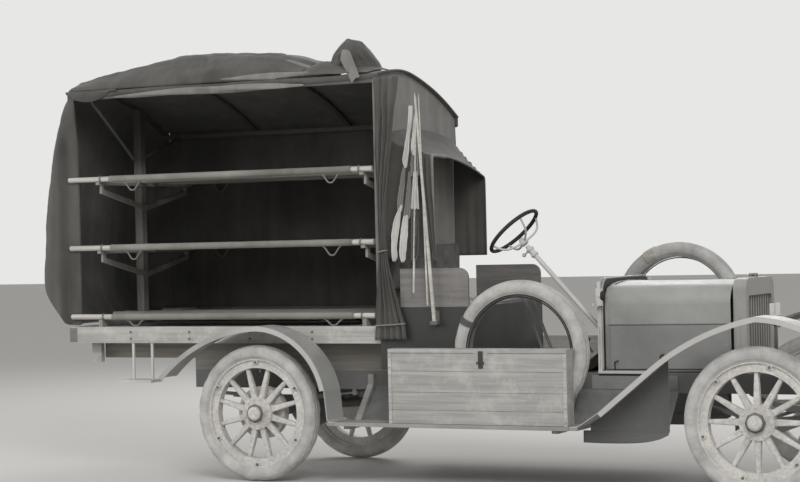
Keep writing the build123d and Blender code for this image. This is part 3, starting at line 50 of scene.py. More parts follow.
# Camera fitted to the photograph: place in metres, focal length in pixels of the photograph's width
IMAGE_WIDTH = 800
FOCAL_PIXELS = 2043.0
CAMERA_PLACE = Vector((5.65, -12.18, 1.54))
CAMERA_YAW = math.radians(26.24)
CAMERA_PITCH = math.radians(-0.03)
CAMERA_ROLL = math.radians(-1.33)

# Studio
FLOOR_COLOUR = (0.62, 0.61, 0.59)
SKY_COLOUR = (0.80, 0.80, 0.79)
AMBIENT = 0.55


def make_camera():
    """The photograph's camera."""
    ahead = Vector((-math.sin(CAMERA_YAW) * math.cos(CAMERA_PITCH),
                    math.cos(CAMERA_YAW) * math.cos(CAMERA_PITCH), math.sin(CAMERA_PITCH)))
    level = Vector((math.cos(CAMERA_YAW), math.sin(CAMERA_YAW), 0))
    up = level.cross(ahead)
    right = level * math.cos(CAMERA_ROLL) + up * math.sin(CAMERA_ROLL)
    up = up * math.cos(CAMERA_ROLL) - level * math.sin(CAMERA_ROLL)
    data = bpy.data.cameras.new("camera")
    data.sensor_width = 36.0
    data.lens = 36.0 * FOCAL_PIXELS / IMAGE_WIDTH
    data.clip_end = 200.0
    camera = bpy.data.objects.new("camera", data)
    scene.collection.objects.link(camera)
    axes = Matrix((right, up, -ahead)).transposed().to_4x4()
    camera.matrix_world = Matrix.Translation(CAMERA_PLACE) @ axes
    scene.camera = camera


def add_node(tree, kind, inputs=(), **settings):
    """New node; an input is given a constant or another node's socket."""
    made = tree.nodes.new(kind)
    for key, value in settings.items():
        setattr(made, key, value)
    for key, value in dict(inputs).items():
        if isinstance(value, bpy.types.NodeSocket):
            tree.links.new(value, made.inputs[key])
        else:
            made.inputs[key].default_value = value
    return made


def make_studio():
    """Pale floor, pale surroundings and soft lamps."""
    mesh = bpy.data.meshes.new("floor")
    mesh.from_pydata([(-60, -60, 0), (60, -60, 0), (60, 60, 0), (-60, 60, 0)], [], [(0, 1, 2, 3)])
    floor = bpy.data.objects.new("floor", mesh)
    scene.collection.objects.link(floor)
    material = bpy.data.materials.new("floor")
    material.use_nodes = True
    shader = material.node_tree.nodes["Principled BSDF"]
    shader.inputs["Base Color"].default_value = (*FLOOR_COLOUR, 1)
    shader.inputs["Roughness"].default_value = 0.95
    mesh.materials.append(material)

    world = bpy.data.worlds.new("world")
    world.use_nodes = True
    tree = world.node_tree
    lit = tree.nodes["Background"]
    lit.inputs["Color"].default_value = (*SKY_COLOUR, 1)
    lit.inputs["Strength"].default_value = AMBIENT
    seen = add_node(tree, "ShaderNodeBackground", {"Color": (*SKY_COLOUR, 1), "Strength": 1.0})
    path = add_node(tree, "ShaderNodeLightPath").outputs
    direct = path["Is Camera Ray"]
    for ray in ("Is Glossy Ray", "Is Transmission Ray"):
        direct = add_node(tree, "ShaderNodeMath", {0: direct, 1: path[ray]}, operation="MAXIMUM").outputs[0]
    mix = add_node(tree, "ShaderNodeMixShader", {"Fac": direct, 1: lit.outputs[0], 2: seen.outputs[0]})
    tree.links.new(mix.outputs[0], tree.nodes["World Output"].inputs["Surface"])
    scene.world = world

    # columns: name, place, target, side length, power
    for name, place, target, side, power in (
            ("key_lamp", (5.5, -8.5, 7.5), (0.2, 0, 1.2), 5.0, 620),
            ("fill_lamp", (-7.5, -7.0, 5.0), (-0.5, 0, 1.2), 6.0, 330),
            ("back_lamp", (-2.0, 9.0, 6.5), (0, 0, 1.2), 6.0, 420)):
        data = bpy.data.lights.new(name, "AREA")
        data.shape = "SQUARE"
        data.size = side
        data.energy = power
        lamp = bpy.data.objects.new(name, data)
        lamp.location = place
        lamp.rotation_mode = "QUATERNION"
        lamp.rotation_quaternion = (Vector(target) - Vector(place)).to_track_quat("-Z", "Y")
        scene.collection.objects.link(lamp)
    scene.view_settings.view_transform = "Standard"


class Surface:
    """Node material with short helpers for its textures."""

    def __init__(self, name, roughness, metallic=0.0, specular=0.5):
        self.material = bpy.data.materials.new(name)
        self.material.use_nodes = True
        self.tree = self.material.node_tree
        self.shader = self.tree.nodes["Principled BSDF"]
        self.shader.inputs["Metallic"].default_value = metallic
        self.shader.inputs["Specular IOR Level"].default_value = specular
        self.shader.inputs["Roughness"].default_value = roughness
        self.place = self.tree.nodes.new("ShaderNodeTexCoord").outputs["Object"]
        self.height = None

    def node(self, kind, inputs=(), **settings):
        return add_node(self.tree, kind, inputs, **settings)

    def noise(self, scale, detail=4.0, roughness=0.6, stretch=None):
        place = self.place
        if stretch is not None:
            inputs = {0: place, 1: stretch}
            place = self.node("ShaderNodeVectorMath", inputs, operation="MULTIPLY").outputs[0]
        return self.node("ShaderNodeTexNoise", {"Vector": place, "Scale": scale, "Detail": detail,
                                                "Roughness": roughness}).outputs["Fac"]

    def waves(self, axis, scale):
        return self.node("ShaderNodeTexWave", {"Vector": self.place, "Scale": scale, "Distortion": 0.6,
                                               "Detail": 1.0}, bands_direction=axis).outputs["Fac"]

    def ramp(self, value, low, high):
        return self.node("ShaderNodeMapRange", {"Value": value, "From Min": low, "From Max": high}).outputs[0]

    def math(self, operation, a, b=0.0):
        return self.node("ShaderNodeMath", {0: a, 1: b}, operation=operation).outputs[0]

    def times(self, a, b):
        return self.math("MULTIPLY", a, b)

    def mix(self, share, a, b):
        made = self.node("ShaderNodeMix", {"Factor": share}, data_type="RGBA")
        for socket, value in ((made.inputs[6], a), (made.inputs[7], b)):
            if isinstance(value, bpy.types.NodeSocket):
                self.tree.links.new(value, socket)
            else:
                socket.default_value = (*value, 1)
        return made.outputs[2]

    def facing(self, axis):
        normal = self.node("ShaderNodeNewGeometry").outputs["Normal"]
        return self.node("ShaderNodeSeparateXYZ", {0: normal}).outputs[axis]

    def place_along(self, axis):
        return self.node("ShaderNodeSeparateXYZ", {0: self.place}).outputs[axis]

    def bump(self, height, depth, strength=1.0):
        inputs = {"Height": height, "Distance": depth, "Strength": strength}
        if self.height is not None:
            inputs["Normal"] = self.height
        self.height = self.node("ShaderNodeBump", inputs).outputs["Normal"]

    def done(self, colour, roughness=None):
        self.tree.links.new(colour, self.shader.inputs["Base Color"])
        if roughness is not None:
            self.tree.links.new(roughness, self.shader.inputs["Roughness"])
        if self.height is not None:
            self.tree.links.new(self.height, self.shader.inputs["Normal"])
        return self.material


# Colours laid over the record's: dust (on the fenders also painted light on their tops), painted shade on
# upright sides, below the bonnet's seam and high under the roof, a painted highlight on the fenders' outer
# lips; and where those lips and the bonnet's seam are
DUST = (0.46, 0.45, 0.42)
PAINTED_LIP_HIGHLIGHT = (0.50, 0.49, 0.47)
PAINTED_SIDE_SHADE = (0.01, 0.01, 0.01)
SHADE_BELOW = (0.02, 0.02, 0.02)
PAINTED_ROOF_SHADE = (0.035, 0.033, 0.03)
LIP_Y = 0.830
BONNET_SEAM = 0.994


def shade(colour, factor):
    return tuple(min(1.0, c * factor) for c in colour)


def paint(name, colour, roughness=0.5, dust=0.5, upright=1.0, seam=None):
    """Brushed paint with scratches and dust; upright darkens the sides with painted shade, apart from a lip
    lightened with a painted highlight; seam paints shade below that height.
    """
    s = Surface(name, roughness)
    blotch = s.ramp(s.noise(3.0, 6.0), 0.35, 0.65)
    base = s.mix(blotch, shade(colour, 0.86), shade(colour, 1.14))
    scratch = s.ramp(s.noise(60.0, 3.0, stretch=(0.2, 1.0, 1.0)), 0.66, 0.72)
    base = s.mix(s.times(scratch, 0.35), base, shade(colour, 1.7))
    if upright < 1.0:
        # Painted shade: upright faces inside the lip darkened towards near-black
        on_edge = s.ramp(s.math("ABSOLUTE", s.facing("Y")), 0.50, 0.80)
        aside = s.math("ABSOLUTE", s.place_along("Y"))
        inner = s.times(on_edge, s.ramp(aside, LIP_Y - 0.005, LIP_Y - 0.015))
        base = s.mix(s.times(inner, 1.0 - upright), base, PAINTED_SIDE_SHADE)
        # Painted highlight on the fenders' outer lip, from the rear fender's front half forwards
        ahead = s.ramp(s.place_along("X"), -1.30, -1.00)
        lip = s.times(s.ramp(aside, LIP_Y - 0.002, LIP_Y + 0.006), ahead)
        base = s.mix(s.times(lip, 0.75), base, PAINTED_LIP_HIGHLIGHT)
    if seam is not None:
        # Painted shade: darker below the bonnet seam's height
        below = s.ramp(s.place_along("Z"), seam + 0.004, seam - 0.004)
        base = s.mix(s.times(below, 0.26), base, SHADE_BELOW)
    # Dust on what faces up; the fenders' large share also paints light on their tops
    speck = s.ramp(s.noise(9.0, 8.0, 0.7), 0.4, 0.7)
    up = s.ramp(s.facing("Z"), 0.2, 0.95)
    dusty = s.times(s.times(up, dust), speck)
    base = s.mix(dusty, base, DUST)
    s.bump(s.noise(180.0, 2.0), 0.0006, 0.4)
    return s.done(base, s.math("ADD", s.times(blotch, 0.18), roughness - 0.08))


def wood(name, colour, along=(0.04, 1.0, 1.0), paint_share=0.0, shade_above=None):
    """Sawn or turned timber: grain along one axis, darker streaks, worn paint, painted shade above a height.
    """
    s = Surface(name, 0.72, specular=0.3)
    grain = s.noise(46.0, 6.0, 0.65, along)
    streak = s.ramp(s.noise(7.0, 4.0, 0.6, along), 0.35, 0.7)
    base = s.mix(s.ramp(grain, 0.3, 0.7), shade(colour, 0.72), shade(colour, 1.2))
    base = s.mix(s.times(streak, 0.45), base, shade(colour, 0.55))
    worn = s.ramp(s.noise(5.0, 8.0, 0.75), 0.5, 0.62)
    base = s.mix(s.times(worn, paint_share), base, shade(colour, 1.35))
    if shade_above is not None:
        # Painted shade: darker above a height, high up under the roof
        high = s.ramp(s.place_along("Z"), shade_above, shade_above + 0.15)
        base = s.mix(s.times(high, 0.85), base, PAINTED_ROOF_SHADE)
    s.bump(grain, 0.0012, 0.5)
    return s.done(base)


def canvas(name, colour, thread=1100.0, stain=0.35):
    """Woven cotton canvas with weathering stains and a crumpled bump."""
    s = Surface(name, 0.93, specular=0.2)
    weave = s.times(s.waves("Z", thread), s.waves("Y", thread))
    weave = s.times(s.waves("X", thread), weave)
    blotch = s.ramp(s.noise(2.2, 7.0, 0.6), 0.32, 0.68)
    base = s.mix(blotch, shade(colour, 0.72), shade(colour, 1.3))
    streak = s.ramp(s.noise(10.0, 5.0, 0.6, (1.0, 1.0, 0.12)), 0.45, 0.7)
    base = s.mix(s.times(streak, stain), base, shade(colour, 1.8))
    base = s.mix(s.times(weave, 0.25), base, shade(colour, 0.6))
    s.bump(weave, 0.0004, 0.5)
    s.bump(s.noise(34.0, 5.0), 0.003, 0.5)
    s.shader.inputs["Sheen Weight"].default_value = 0.15
    s.shader.inputs["Sheen Roughness"].default_value = 0.6
    return s.done(base)


def rubber(name, colour):
    """Road-worn pale rubber, blotched lighter and darker."""
    s = Surface(name, 0.85, specular=0.25)
    blotch = s.ramp(s.noise(9.0, 7.0, 0.65), 0.35, 0.68)
    base = s.mix(blotch, shade(colour, 0.72), shade(colour, 1.12))
    s.bump(s.noise(150.0, 4.0), 0.001, 0.5)
    return s.done(base)


def leather(name, colour):
    """Buttoned hide gone dull, with cracks."""
    s = Surface(name, 0.55)
    cells = s.node("ShaderNodeTexVoronoi", {"Vector": s.place, "Scale": 240.0},
                   feature="DISTANCE_TO_EDGE").outputs[0]
    base = s.mix(s.ramp(s.noise(6.0, 6.0), 0.35, 0.7), shade(colour, 0.7), shade(colour, 1.6))
    s.bump(s.ramp(cells, 0.0, 0.12), 0.0006, 0.6)
    s.bump(s.noise(20.0, 4.0), 0.003, 0.4)
    return s.done(base)


def casting(name, colour):
    """Rough cast iron."""
    s = Surface(name, 0.8, metallic=0.2)
    base = s.mix(s.ramp(s.noise(14.0, 7.0), 0.3, 0.7), shade(colour, 0.7), shade(colour, 1.3))
    s.bump(s.noise(120.0, 5.0), 0.0015, 0.6)
    return s.done(base)


WOOD_ALONG_Z = (1.0, 1.0, 0.04)
WOOD_ROUND = (1.0, 1.0, 1.0)
# A recipe takes the slot's name and the record's colour
MATERIALS = {
    "tyre_rubber": rubber,
    "wheel_wood": lambda n, c: wood(n, c, WOOD_ROUND, 0.4),
    # Chassis colour darkened as painted shade for the underbody
    "chassis_paint": lambda n, c: paint(n, shade(c, 0.65), 0.6, 0.3),
    "spring_steel": lambda n, c: paint(n, c, 0.55, 0.5),
    "cast_iron": casting,
    "exhaust_steel": lambda n, c: paint(n, c, 0.7, 0.4),
    "radiator_metal": lambda n, c: paint(n, c, 0.45, 0.3),
    "body_paint": lambda n, c: paint(n, c, 0.45, 0.35, seam=BONNET_SEAM),
    # Fenders: dust share 0.9 is real dust and painted light on their upward faces; upright paints shade on
    # their sides
    "fender_paint": lambda n, c: paint(n, shade(c, 1.25), 0.42, 0.9, upright=0.30),
    "rim_paint": lambda n, c: paint(n, c, 0.55, 0.3),
    "rim_black": lambda n, c: wood(n, c, WOOD_ROUND),
    "panel_wood": lambda n, c: wood(n, c, paint_share=0.3),
    "plank_wood": wood,
    "board_wood": lambda n, c: wood(n, c, paint_share=0.3),
    "box_wood": lambda n, c: wood(n, c, paint_share=0.5),
    "sill_wood": lambda n, c: wood(n, c, paint_share=0.5, shade_above=1.1),
    "post_wood": lambda n, c: wood(n, shade(c, 0.8), WOOD_ALONG_Z, shade_above=2.0),
    "pole_wood": wood,
    "bed_canvas": lambda n, c: canvas(n, shade(c, 0.62), stain=0.2),
    "canopy_canvas": canvas,
    "bulkhead_canvas": canvas,
    "seat_leather": leather,
    "flag_cloth": lambda n, c: canvas(n, shade(c, 0.85), 1500.0, 0.2),
    "dark_paint": lambda n, c: paint(n, shade(c, 0.6), 0.55, 0.25),
    "pale_paint": lambda n, c: paint(n, c, 0.5, 0.3),
}

make_camera()
make_studio()
materials = {}
for row in frame["record"]["materials"]:
    materials[row["slot"]] = MATERIALS[row["slot"]](row["slot"], tuple(row["base_color"][:3]))
for row in frame["record"]["subparts"]:
    mesh = frame["nodes"][row["node"]].data
    mesh.materials.clear()
    mesh.materials.append(materials[row["material_slot"]])


# Shapes that repeat the source's, in metres
BODY = "vehicle"
HANDS = (("left", 1), ("right", -1))
WELD = 1e-5
CANOPY_LOW, CANOPY_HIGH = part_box("canopy_roof")
ROOF_HALF = CANOPY_HIGH.y - 0.003
ROOF_CROWN = CANOPY_HIGH.z
FAR_EAVE, FAR_SHOULDER, CROWN, NEAR_SHOULDER, NEAR_EAVE = (
    (ROOF_HALF, ROOF_CROWN - 0.270), (0.235, ROOF_CROWN - 0.108), (-0.200, ROOF_CROWN),
    (-0.410, ROOF_CROWN - 0.006), (-ROOF_HALF, ROOF_CROWN - 0.040))
BACK_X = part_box("body_floor")[0].x
WALL_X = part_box("front_bulkhead")[1].x
HEM_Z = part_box("rear_curtain")[0].z
FLOOR_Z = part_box("body_floor")[1].z
BOARD_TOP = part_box("side_boxes")[0].z


def clamp(value):
    return min(1.0, max(0.0, value))


def soft_noise(x, y, z, seed=0.0):
    """Smooth noise from -1 to 1, the same each run."""
    return noise.fractal(Vector((x, y, z + seed * 17.3)), 1.0, 2.0, 3)


def curve(table, at):
    """Smooth line through a table of (place, value) rows sorted by place."""
    last = len(table) - 1
    at = min(max(at, table[0][0]), table[last][0])
    i = 0
    while i < last - 1 and at > table[i + 1][0]:
        i += 1
    before, start, end, after = (table[max(i - 1, 0)], table[i], table[i + 1], table[min(i + 2, last)])
    width = end[0] - start[0]
    t = (at - start[0]) / width
    slope_in = (end[1] - before[1]) / (end[0] - before[0]) * width
    slope_out = (after[1] - start[1]) / (after[0] - start[0]) * width
    return ((2 * t**3 - 3 * t**2 + 1) * start[1] + (t**3 - 2 * t**2 + t) * slope_in
            + (3 * t**2 - 2 * t**3) * end[1] + (t**3 - t**2) * slope_out)


def arc_height(y, a, b, c):
    """Height at y on the upper side of the circle through three (y, z) points."""
    aa, bb, cc = (p[0] ** 2 + p[1] ** 2 for p in (a, b, c))
    d = 2 * (a[0] * (b[1] - c[1]) + b[0] * (c[1] - a[1]) + c[0] * (a[1] - b[1]))
    centre_y = (aa * (b[1] - c[1]) + bb * (c[1] - a[1]) + cc * (a[1] - b[1])) / d
    centre_z = (aa * (c[0] - b[0]) + bb * (a[0] - c[0]) + cc * (b[0] - a[0])) / d
    radius = math.hypot(a[0] - centre_y, a[1] - centre_z)
    return centre_z + math.sqrt(max(radius**2 - (y - centre_y) ** 2, 0.0))


def roof_height(y):
    y = min(max(y, -ROOF_HALF), ROOF_HALF)
    if y > CROWN[0]:
        return arc_height(y, FAR_EAVE, FAR_SHOULDER, CROWN)
    return arc_height(y, CROWN, NEAR_SHOULDER, NEAR_EAVE)


def adopt(name, data, slot, body=BODY, smooth=True, replaces=()):
    """Object of a mesh or curve, in a material slot, that rides on a body."""
    data.materials.clear()
    data.materials.append(materials[slot])
    for polygon in getattr(data, "polygons", ()):
        polygon.use_smooth = smooth
    made = bpy.data.objects.new(name, data)
    scene.collection.objects.link(made)
    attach(made, body)
    if replaces:
        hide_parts(*replaces)
    return made


def mesh_of(name, work):
    """Mesh of a bmesh, which is freed."""
    mesh = bpy.data.meshes.new(name)
    work.to_mesh(mesh)
    work.free()
    return mesh


def round_off(made, levels):
    rounding = made.modifiers.new("rounding", "SUBSURF")
    rounding.levels = levels
    rounding.render_levels = levels


def piece(name, vertices, faces, slot, body=BODY, thickness=0.0, rounding=0, replaces=()):
    """New mesh piece; rounding is its subdivision level."""
    mesh = bpy.data.meshes.new(name)
    mesh.from_pydata([tuple(v) for v in vertices], [], faces)
    made = adopt(name, mesh, slot, body, replaces=replaces)
    if thickness:
        solid = made.modifiers.new("thickness", "SOLIDIFY")
        solid.thickness = thickness
        solid.offset = 0.0
    if rounding:
        round_off(made, rounding)
    return made


def grid(name, columns, rows, place, slot, closed=False, **settings):
    """Sheet of columns x rows faces; place(u, v) gives a point, u and v from 0 to 1."""
    across = columns if closed else columns + 1
    vertices = [place(i / columns, j / rows) for j in range(rows + 1) for i in range(across)]
    faces = []
    for j in range(rows):
        for i in range(columns):
            k = (i + 1) % across
            faces.append((j * across + i, j * across + k, (j + 1) * across + k, (j + 1) * across + i))
    return piece(name, vertices, faces, slot, **settings)


def bars(name, rows, slot, bevel=0.002):
    """Bevelled straight pieces in one mesh; a row is middle and size."""
    made = bmesh.new()
    for middle, size in rows:
        bmesh.ops.create_cube(made, size=1.0, matrix=Matrix.Translation(middle) @ Matrix.Diagonal((*size, 1)))
    bmesh.ops.bevel(made, geom=made.edges[:], offset=bevel, segments=2, profile=0.6, affect="EDGES")
    return adopt(name, mesh_of(name, made), slot, smooth=False)


def twin_bars(name, rows, slot, bevel=0.002):
    """Bars on the left and their mirror images on the right."""
    bars(name, [((x, side * y, z), size) for side in (-1, 1) for (x, y, z), size in rows], slot, bevel)


def facing_out(points):
    """Places for bolts on the left and on the right, facing away from the middle plane."""
    return [((x, side * y, z), (0, side, 0)) for x, y, z in points for side in (-1, 1)]


def bolts(name, places, slot, radius=0.008, height=0.006, body=BODY, sides=6):
    """Hexagonal heads with a domed top in one mesh; a place is a point and the way it faces."""
    made = bmesh.new()
    for point, normal in places:
        turn = Vector((0, 0, 1)).rotation_difference(Vector(normal)).to_matrix().to_4x4()
        base = Matrix.Translation(point) @ turn
        bmesh.ops.create_cone(made, cap_ends=True, segments=sides, radius1=radius, radius2=radius * 0.94,
                              depth=height, matrix=base @ Matrix.Translation((0, 0, height / 2)))
        bmesh.ops.create_cone(made, cap_ends=True, segments=sides, radius1=radius * 0.8, radius2=radius * 0.4,
                              depth=height * 0.4, matrix=base @ Matrix.Translation((0, 0, height * 1.2)))
    return adopt(name, mesh_of(name, made), slot, body, False)


def rope(name, points, radius, slot, body=BODY, closed=False, replaces=()):
    """Round bar, bead or tight loop along points."""
    data = bpy.data.curves.new(name, "CURVE")
    data.dimensions = "3D"
    data.bevel_depth = radius
    data.bevel_resolution = 3
    data.use_fill_caps = True
    spline = data.splines.new("NURBS")
    spline.points.add(len(points) - 1)
    for i, point in enumerate(points):
        spline.points[i].co = (*point, 1)
    spline.use_cyclic_u = closed
    spline.order_u = 3
    spline.use_endpoint_u = not closed
    spline.resolution_u = 6
    return adopt(name, data, slot, body, replaces=replaces)


def circle(centre, first, second, count, start=0.0):
    """Points round centre, at cosine times first and sine times second."""
    points = []
    for i in range(count):
        angle = start + 2 * math.pi * i / count
        points.append(Vector(centre) + Vector(first) * math.cos(angle) + Vector(second) * math.sin(angle))
    return points


def columns_at(rows, at, count):
    """Values of the columns after the first, at a place along rows sorted by the first."""
    return [curve([(row[0], row[k]) for row in rows], at) for k in range(1, count + 1)]


def lathe(name, profile, segments, centre, axis, slot, body=BODY, change=None, replaces=()):
    """Turned piece about an axis through centre; a profile row is radius and place along the axis."""
    axis = Vector(axis).normalized()
    first = Vector((1, 0, 0)) if abs(axis.x) < 0.9 else Vector((0, 0, 1))
    first = (first - axis * first.dot(axis)).normalized()
    second = first.cross(axis)
    vertices = []
    for i in range(segments):
        angle = 2 * math.pi * i / segments
        outward = first * math.cos(angle) + second * math.sin(angle)
        for j, (radius, along) in enumerate(profile):
            radius += change(i, j) if change else 0.0
            vertices.append(Vector(centre) + outward * radius + axis * along)
    count = len(profile)
    faces = []
    for i in range(segments):
        k = (i + 1) % segments
        for j in range(count - 1):
            faces.append((i * count + j, i * count + j + 1, k * count + j + 1, k * count + j))
    made = piece(name, vertices, faces, slot, body, replaces=replaces)
    welded = bmesh.new()
    welded.from_mesh(made.data)
    bmesh.ops.remove_doubles(welded, verts=welded.verts, dist=WELD)
    welded.to_mesh(made.data)
    welded.free()
    return made


# Tyres: beaded sidewalls, ribbed tread with a non-skid row of blocks at each shoulder
# columns: radius, place from the middle plane
HALF_TYRE = (
    (0.352, 0.0395), (0.3555, 0.0435), (0.3625, 0.0440), (0.3645, 0.0478), (0.374, 0.0522), (0.388, 0.0553),
    (0.403, 0.0556), (0.415, 0.0508), (0.4235, 0.0440), (0.4268, 0.0385), (0.4320, 0.0370), (0.4355, 0.0240),
    (0.4318, 0.0225), (0.4320, 0.0190), (0.4385, 0.0175), (0.4398, 0.0070), (0.4362, 0.0058), (0.4362, 0.0))
TYRE_PROFILE = HALF_TYRE + tuple((r, -y) for r, y in HALF_TYRE[-2::-1])
TYRE_SEGMENTS = 144
BLOCK_ROWS = (10, 11, len(TYRE_PROFILE) - 12, len(TYRE_PROFILE) - 11)
BLOCK_PITCH = 6
BLOCK_DEPTH = 0.0042
CLAMP_RING = 0.331
CLAMP_FACE = 0.038
CLAMPS = 6


def tread(i, j):
    return -BLOCK_DEPTH if j in BLOCK_ROWS and i % BLOCK_PITCH < 2 else 0.0


def make_tyre(name, centre, side, body, node):
    lathe(name, TYRE_PROFILE, TYRE_SEGMENTS, centre, (0, side, 0), "tyre_rubber", body, tread, [node])


def make_wheels():
    for end in ("front", "rear"):
        for hand, side in HANDS:
            low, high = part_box(f"tyre_{end}_{hand}")
            centre = (low + high) / 2
            body = f"wheel_{end}_{hand}"
            make_tyre(f"tread_{end}_{hand}", centre, side, body, f"tyre_{end}_{hand}")
            start = math.radians(30 if end == "rear" else 15)
            middle = (centre.x, centre.y + side * CLAMP_FACE, centre.z)
            nuts = circle(middle, (CLAMP_RING, 0, 0), (0, 0, CLAMP_RING), CLAMPS, start)
            bolts(f"clamp_nuts_{end}_{hand}", [(point, (0, side, 0)) for point in nuts], "chassis_paint",
                  0.009, 0.008, body)
            cap = ((0.062, 0.052), (0.062, 0.058), (0.050, 0.060), (0.050, 0.064), (0.0478, 0.066))
            lathe(f"hub_ring_{end}_{hand}", cap, 8, centre, (0, side, 0), "chassis_paint", body)
            stem = [(centre.x + 0.02, centre.y + side * 0.012, centre.z + r) for r in (0.292, 0.275, 0.262)]
            rope(f"valve_{end}_{hand}", stem, 0.0045, "chassis_paint", body)


def make_spares():
    """Tyres of the spare wheels, with the dark line of the rim's edge inside the bead."""
    for number, centre in enumerate(spare_middles()):
        side = -1 if centre.y < 0 else 1
        make_tyre(f"spare_tread_{number}", centre, side, BODY, "spare_tyres")
        for label, radius, out in (("outer", 0.3515, 0.0425), ("inner", 0.338, 0.034)):
            ring = circle((centre.x, centre.y + side * out, centre.z), (radius, 0, 0), (0, 0, radius), 36)
            rope(f"spare_line_{label}_{number}", ring, 0.0038, "rim_black", closed=True)


def spare_middles():
    """Middles of the two spare tyres, from their CAD vertices on either side."""
    vertices = [v.co for v in frame["nodes"]["spare_tyres"].data.vertices]
    middles = []
    for side in (-1, 1):
        own = [v for v in vertices if v.y * side > 0]
        low = Vector([min(v[i] for v in own) for i in range(3)])
        high = Vector([max(v[i] for v in own) for i in range(3)])
        middles.append((low + high) / 2)
    return middles


# Canvas roof, drawn tight over the hoops, hemmed, with a flap at each eave
HOOP_FIRST = BACK_X + 0.022
HOOP_PITCH = (WALL_X - 0.020 - 0.042 - HOOP_FIRST) / 3
FAR_FLAP = 0.060
NEAR_FLAP = 0.034


def make_canopy():
    start, end = CANOPY_LOW.x, CANOPY_HIGH.x
    path = FAR_FLAP + 2 * ROOF_HALF + NEAR_FLAP

    def place(u, v):
        x = start + (end - start) * u
        along = v * path
        between = math.sin(math.pi * (x - HOOP_FIRST) / HOOP_PITCH) ** 2
        crease = soft_noise(x * 1.5, along * 7, 0, 1)
        if along < FAR_FLAP:
            return (x, ROOF_HALF + 0.004 * crease, FAR_EAVE[1] - FAR_FLAP + along - 0.006 * between)
        if along > path - NEAR_FLAP:
            hang = (along - path + NEAR_FLAP) * (1 + 0.25 * soft_noise(x * 7, 0, 0, 30))
            return (x, -ROOF_HALF + 0.003 * crease, NEAR_EAVE[1] - hang - 0.004 * between)
        y = ROOF_HALF - (along - FAR_FLAP)
        edge = min(1.0, (ROOF_HALF - abs(y)) / 0.1)
        return (x, y, roof_height(y) - 0.003 - 0.014 * between * edge + 0.003 * crease * edge * between)

    roof = grid("canopy_sheet", 96, 72, place, "canopy_canvas", thickness=0.004, replaces=["canopy_roof"])
    hem_z = FAR_EAVE[1] - FAR_FLAP
    rope("far_hem", [(start + 0.01, ROOF_HALF + 0.002, hem_z), (-1.4, ROOF_HALF + 0.003, hem_z - 0.006),
                     (end - 0.01, ROOF_HALF + 0.002, hem_z)], 0.006, "canopy_canvas")
    front = [(end + 0.001, y, roof_height(y) + 0.001) for y in (0.6, 0.5, 0.35, 0.2, 0.0, -0.2, -0.4, -0.6)]
    rope("front_hem", front, 0.007, "canopy_canvas")


# Rear curtain: wrapped round both corners, bulging below where it hangs slack
# columns: height, place of its back
BACK_PROFILE = tuple((z, BACK_X + out) for z, out in (
    (1.005, -0.075), (1.10, -0.165), (1.25, -0.243), (1.55, -0.232), (1.87, -0.205), (2.20, -0.150),
    (2.45, -0.085), (2.58, -0.030), (2.645, 0.010)))
REAR_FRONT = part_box("rear_curtain")[1].x
CORNER = 0.115
SHOULDER = 0.055
# The near side is drawn in below the roof: depth, where it starts, and over what lengths it grows
TUCK = 0.048
TUCK_X = -2.665
TUCK_TOP = 2.44
TUCK_GROWS = (0.060, 0.20)


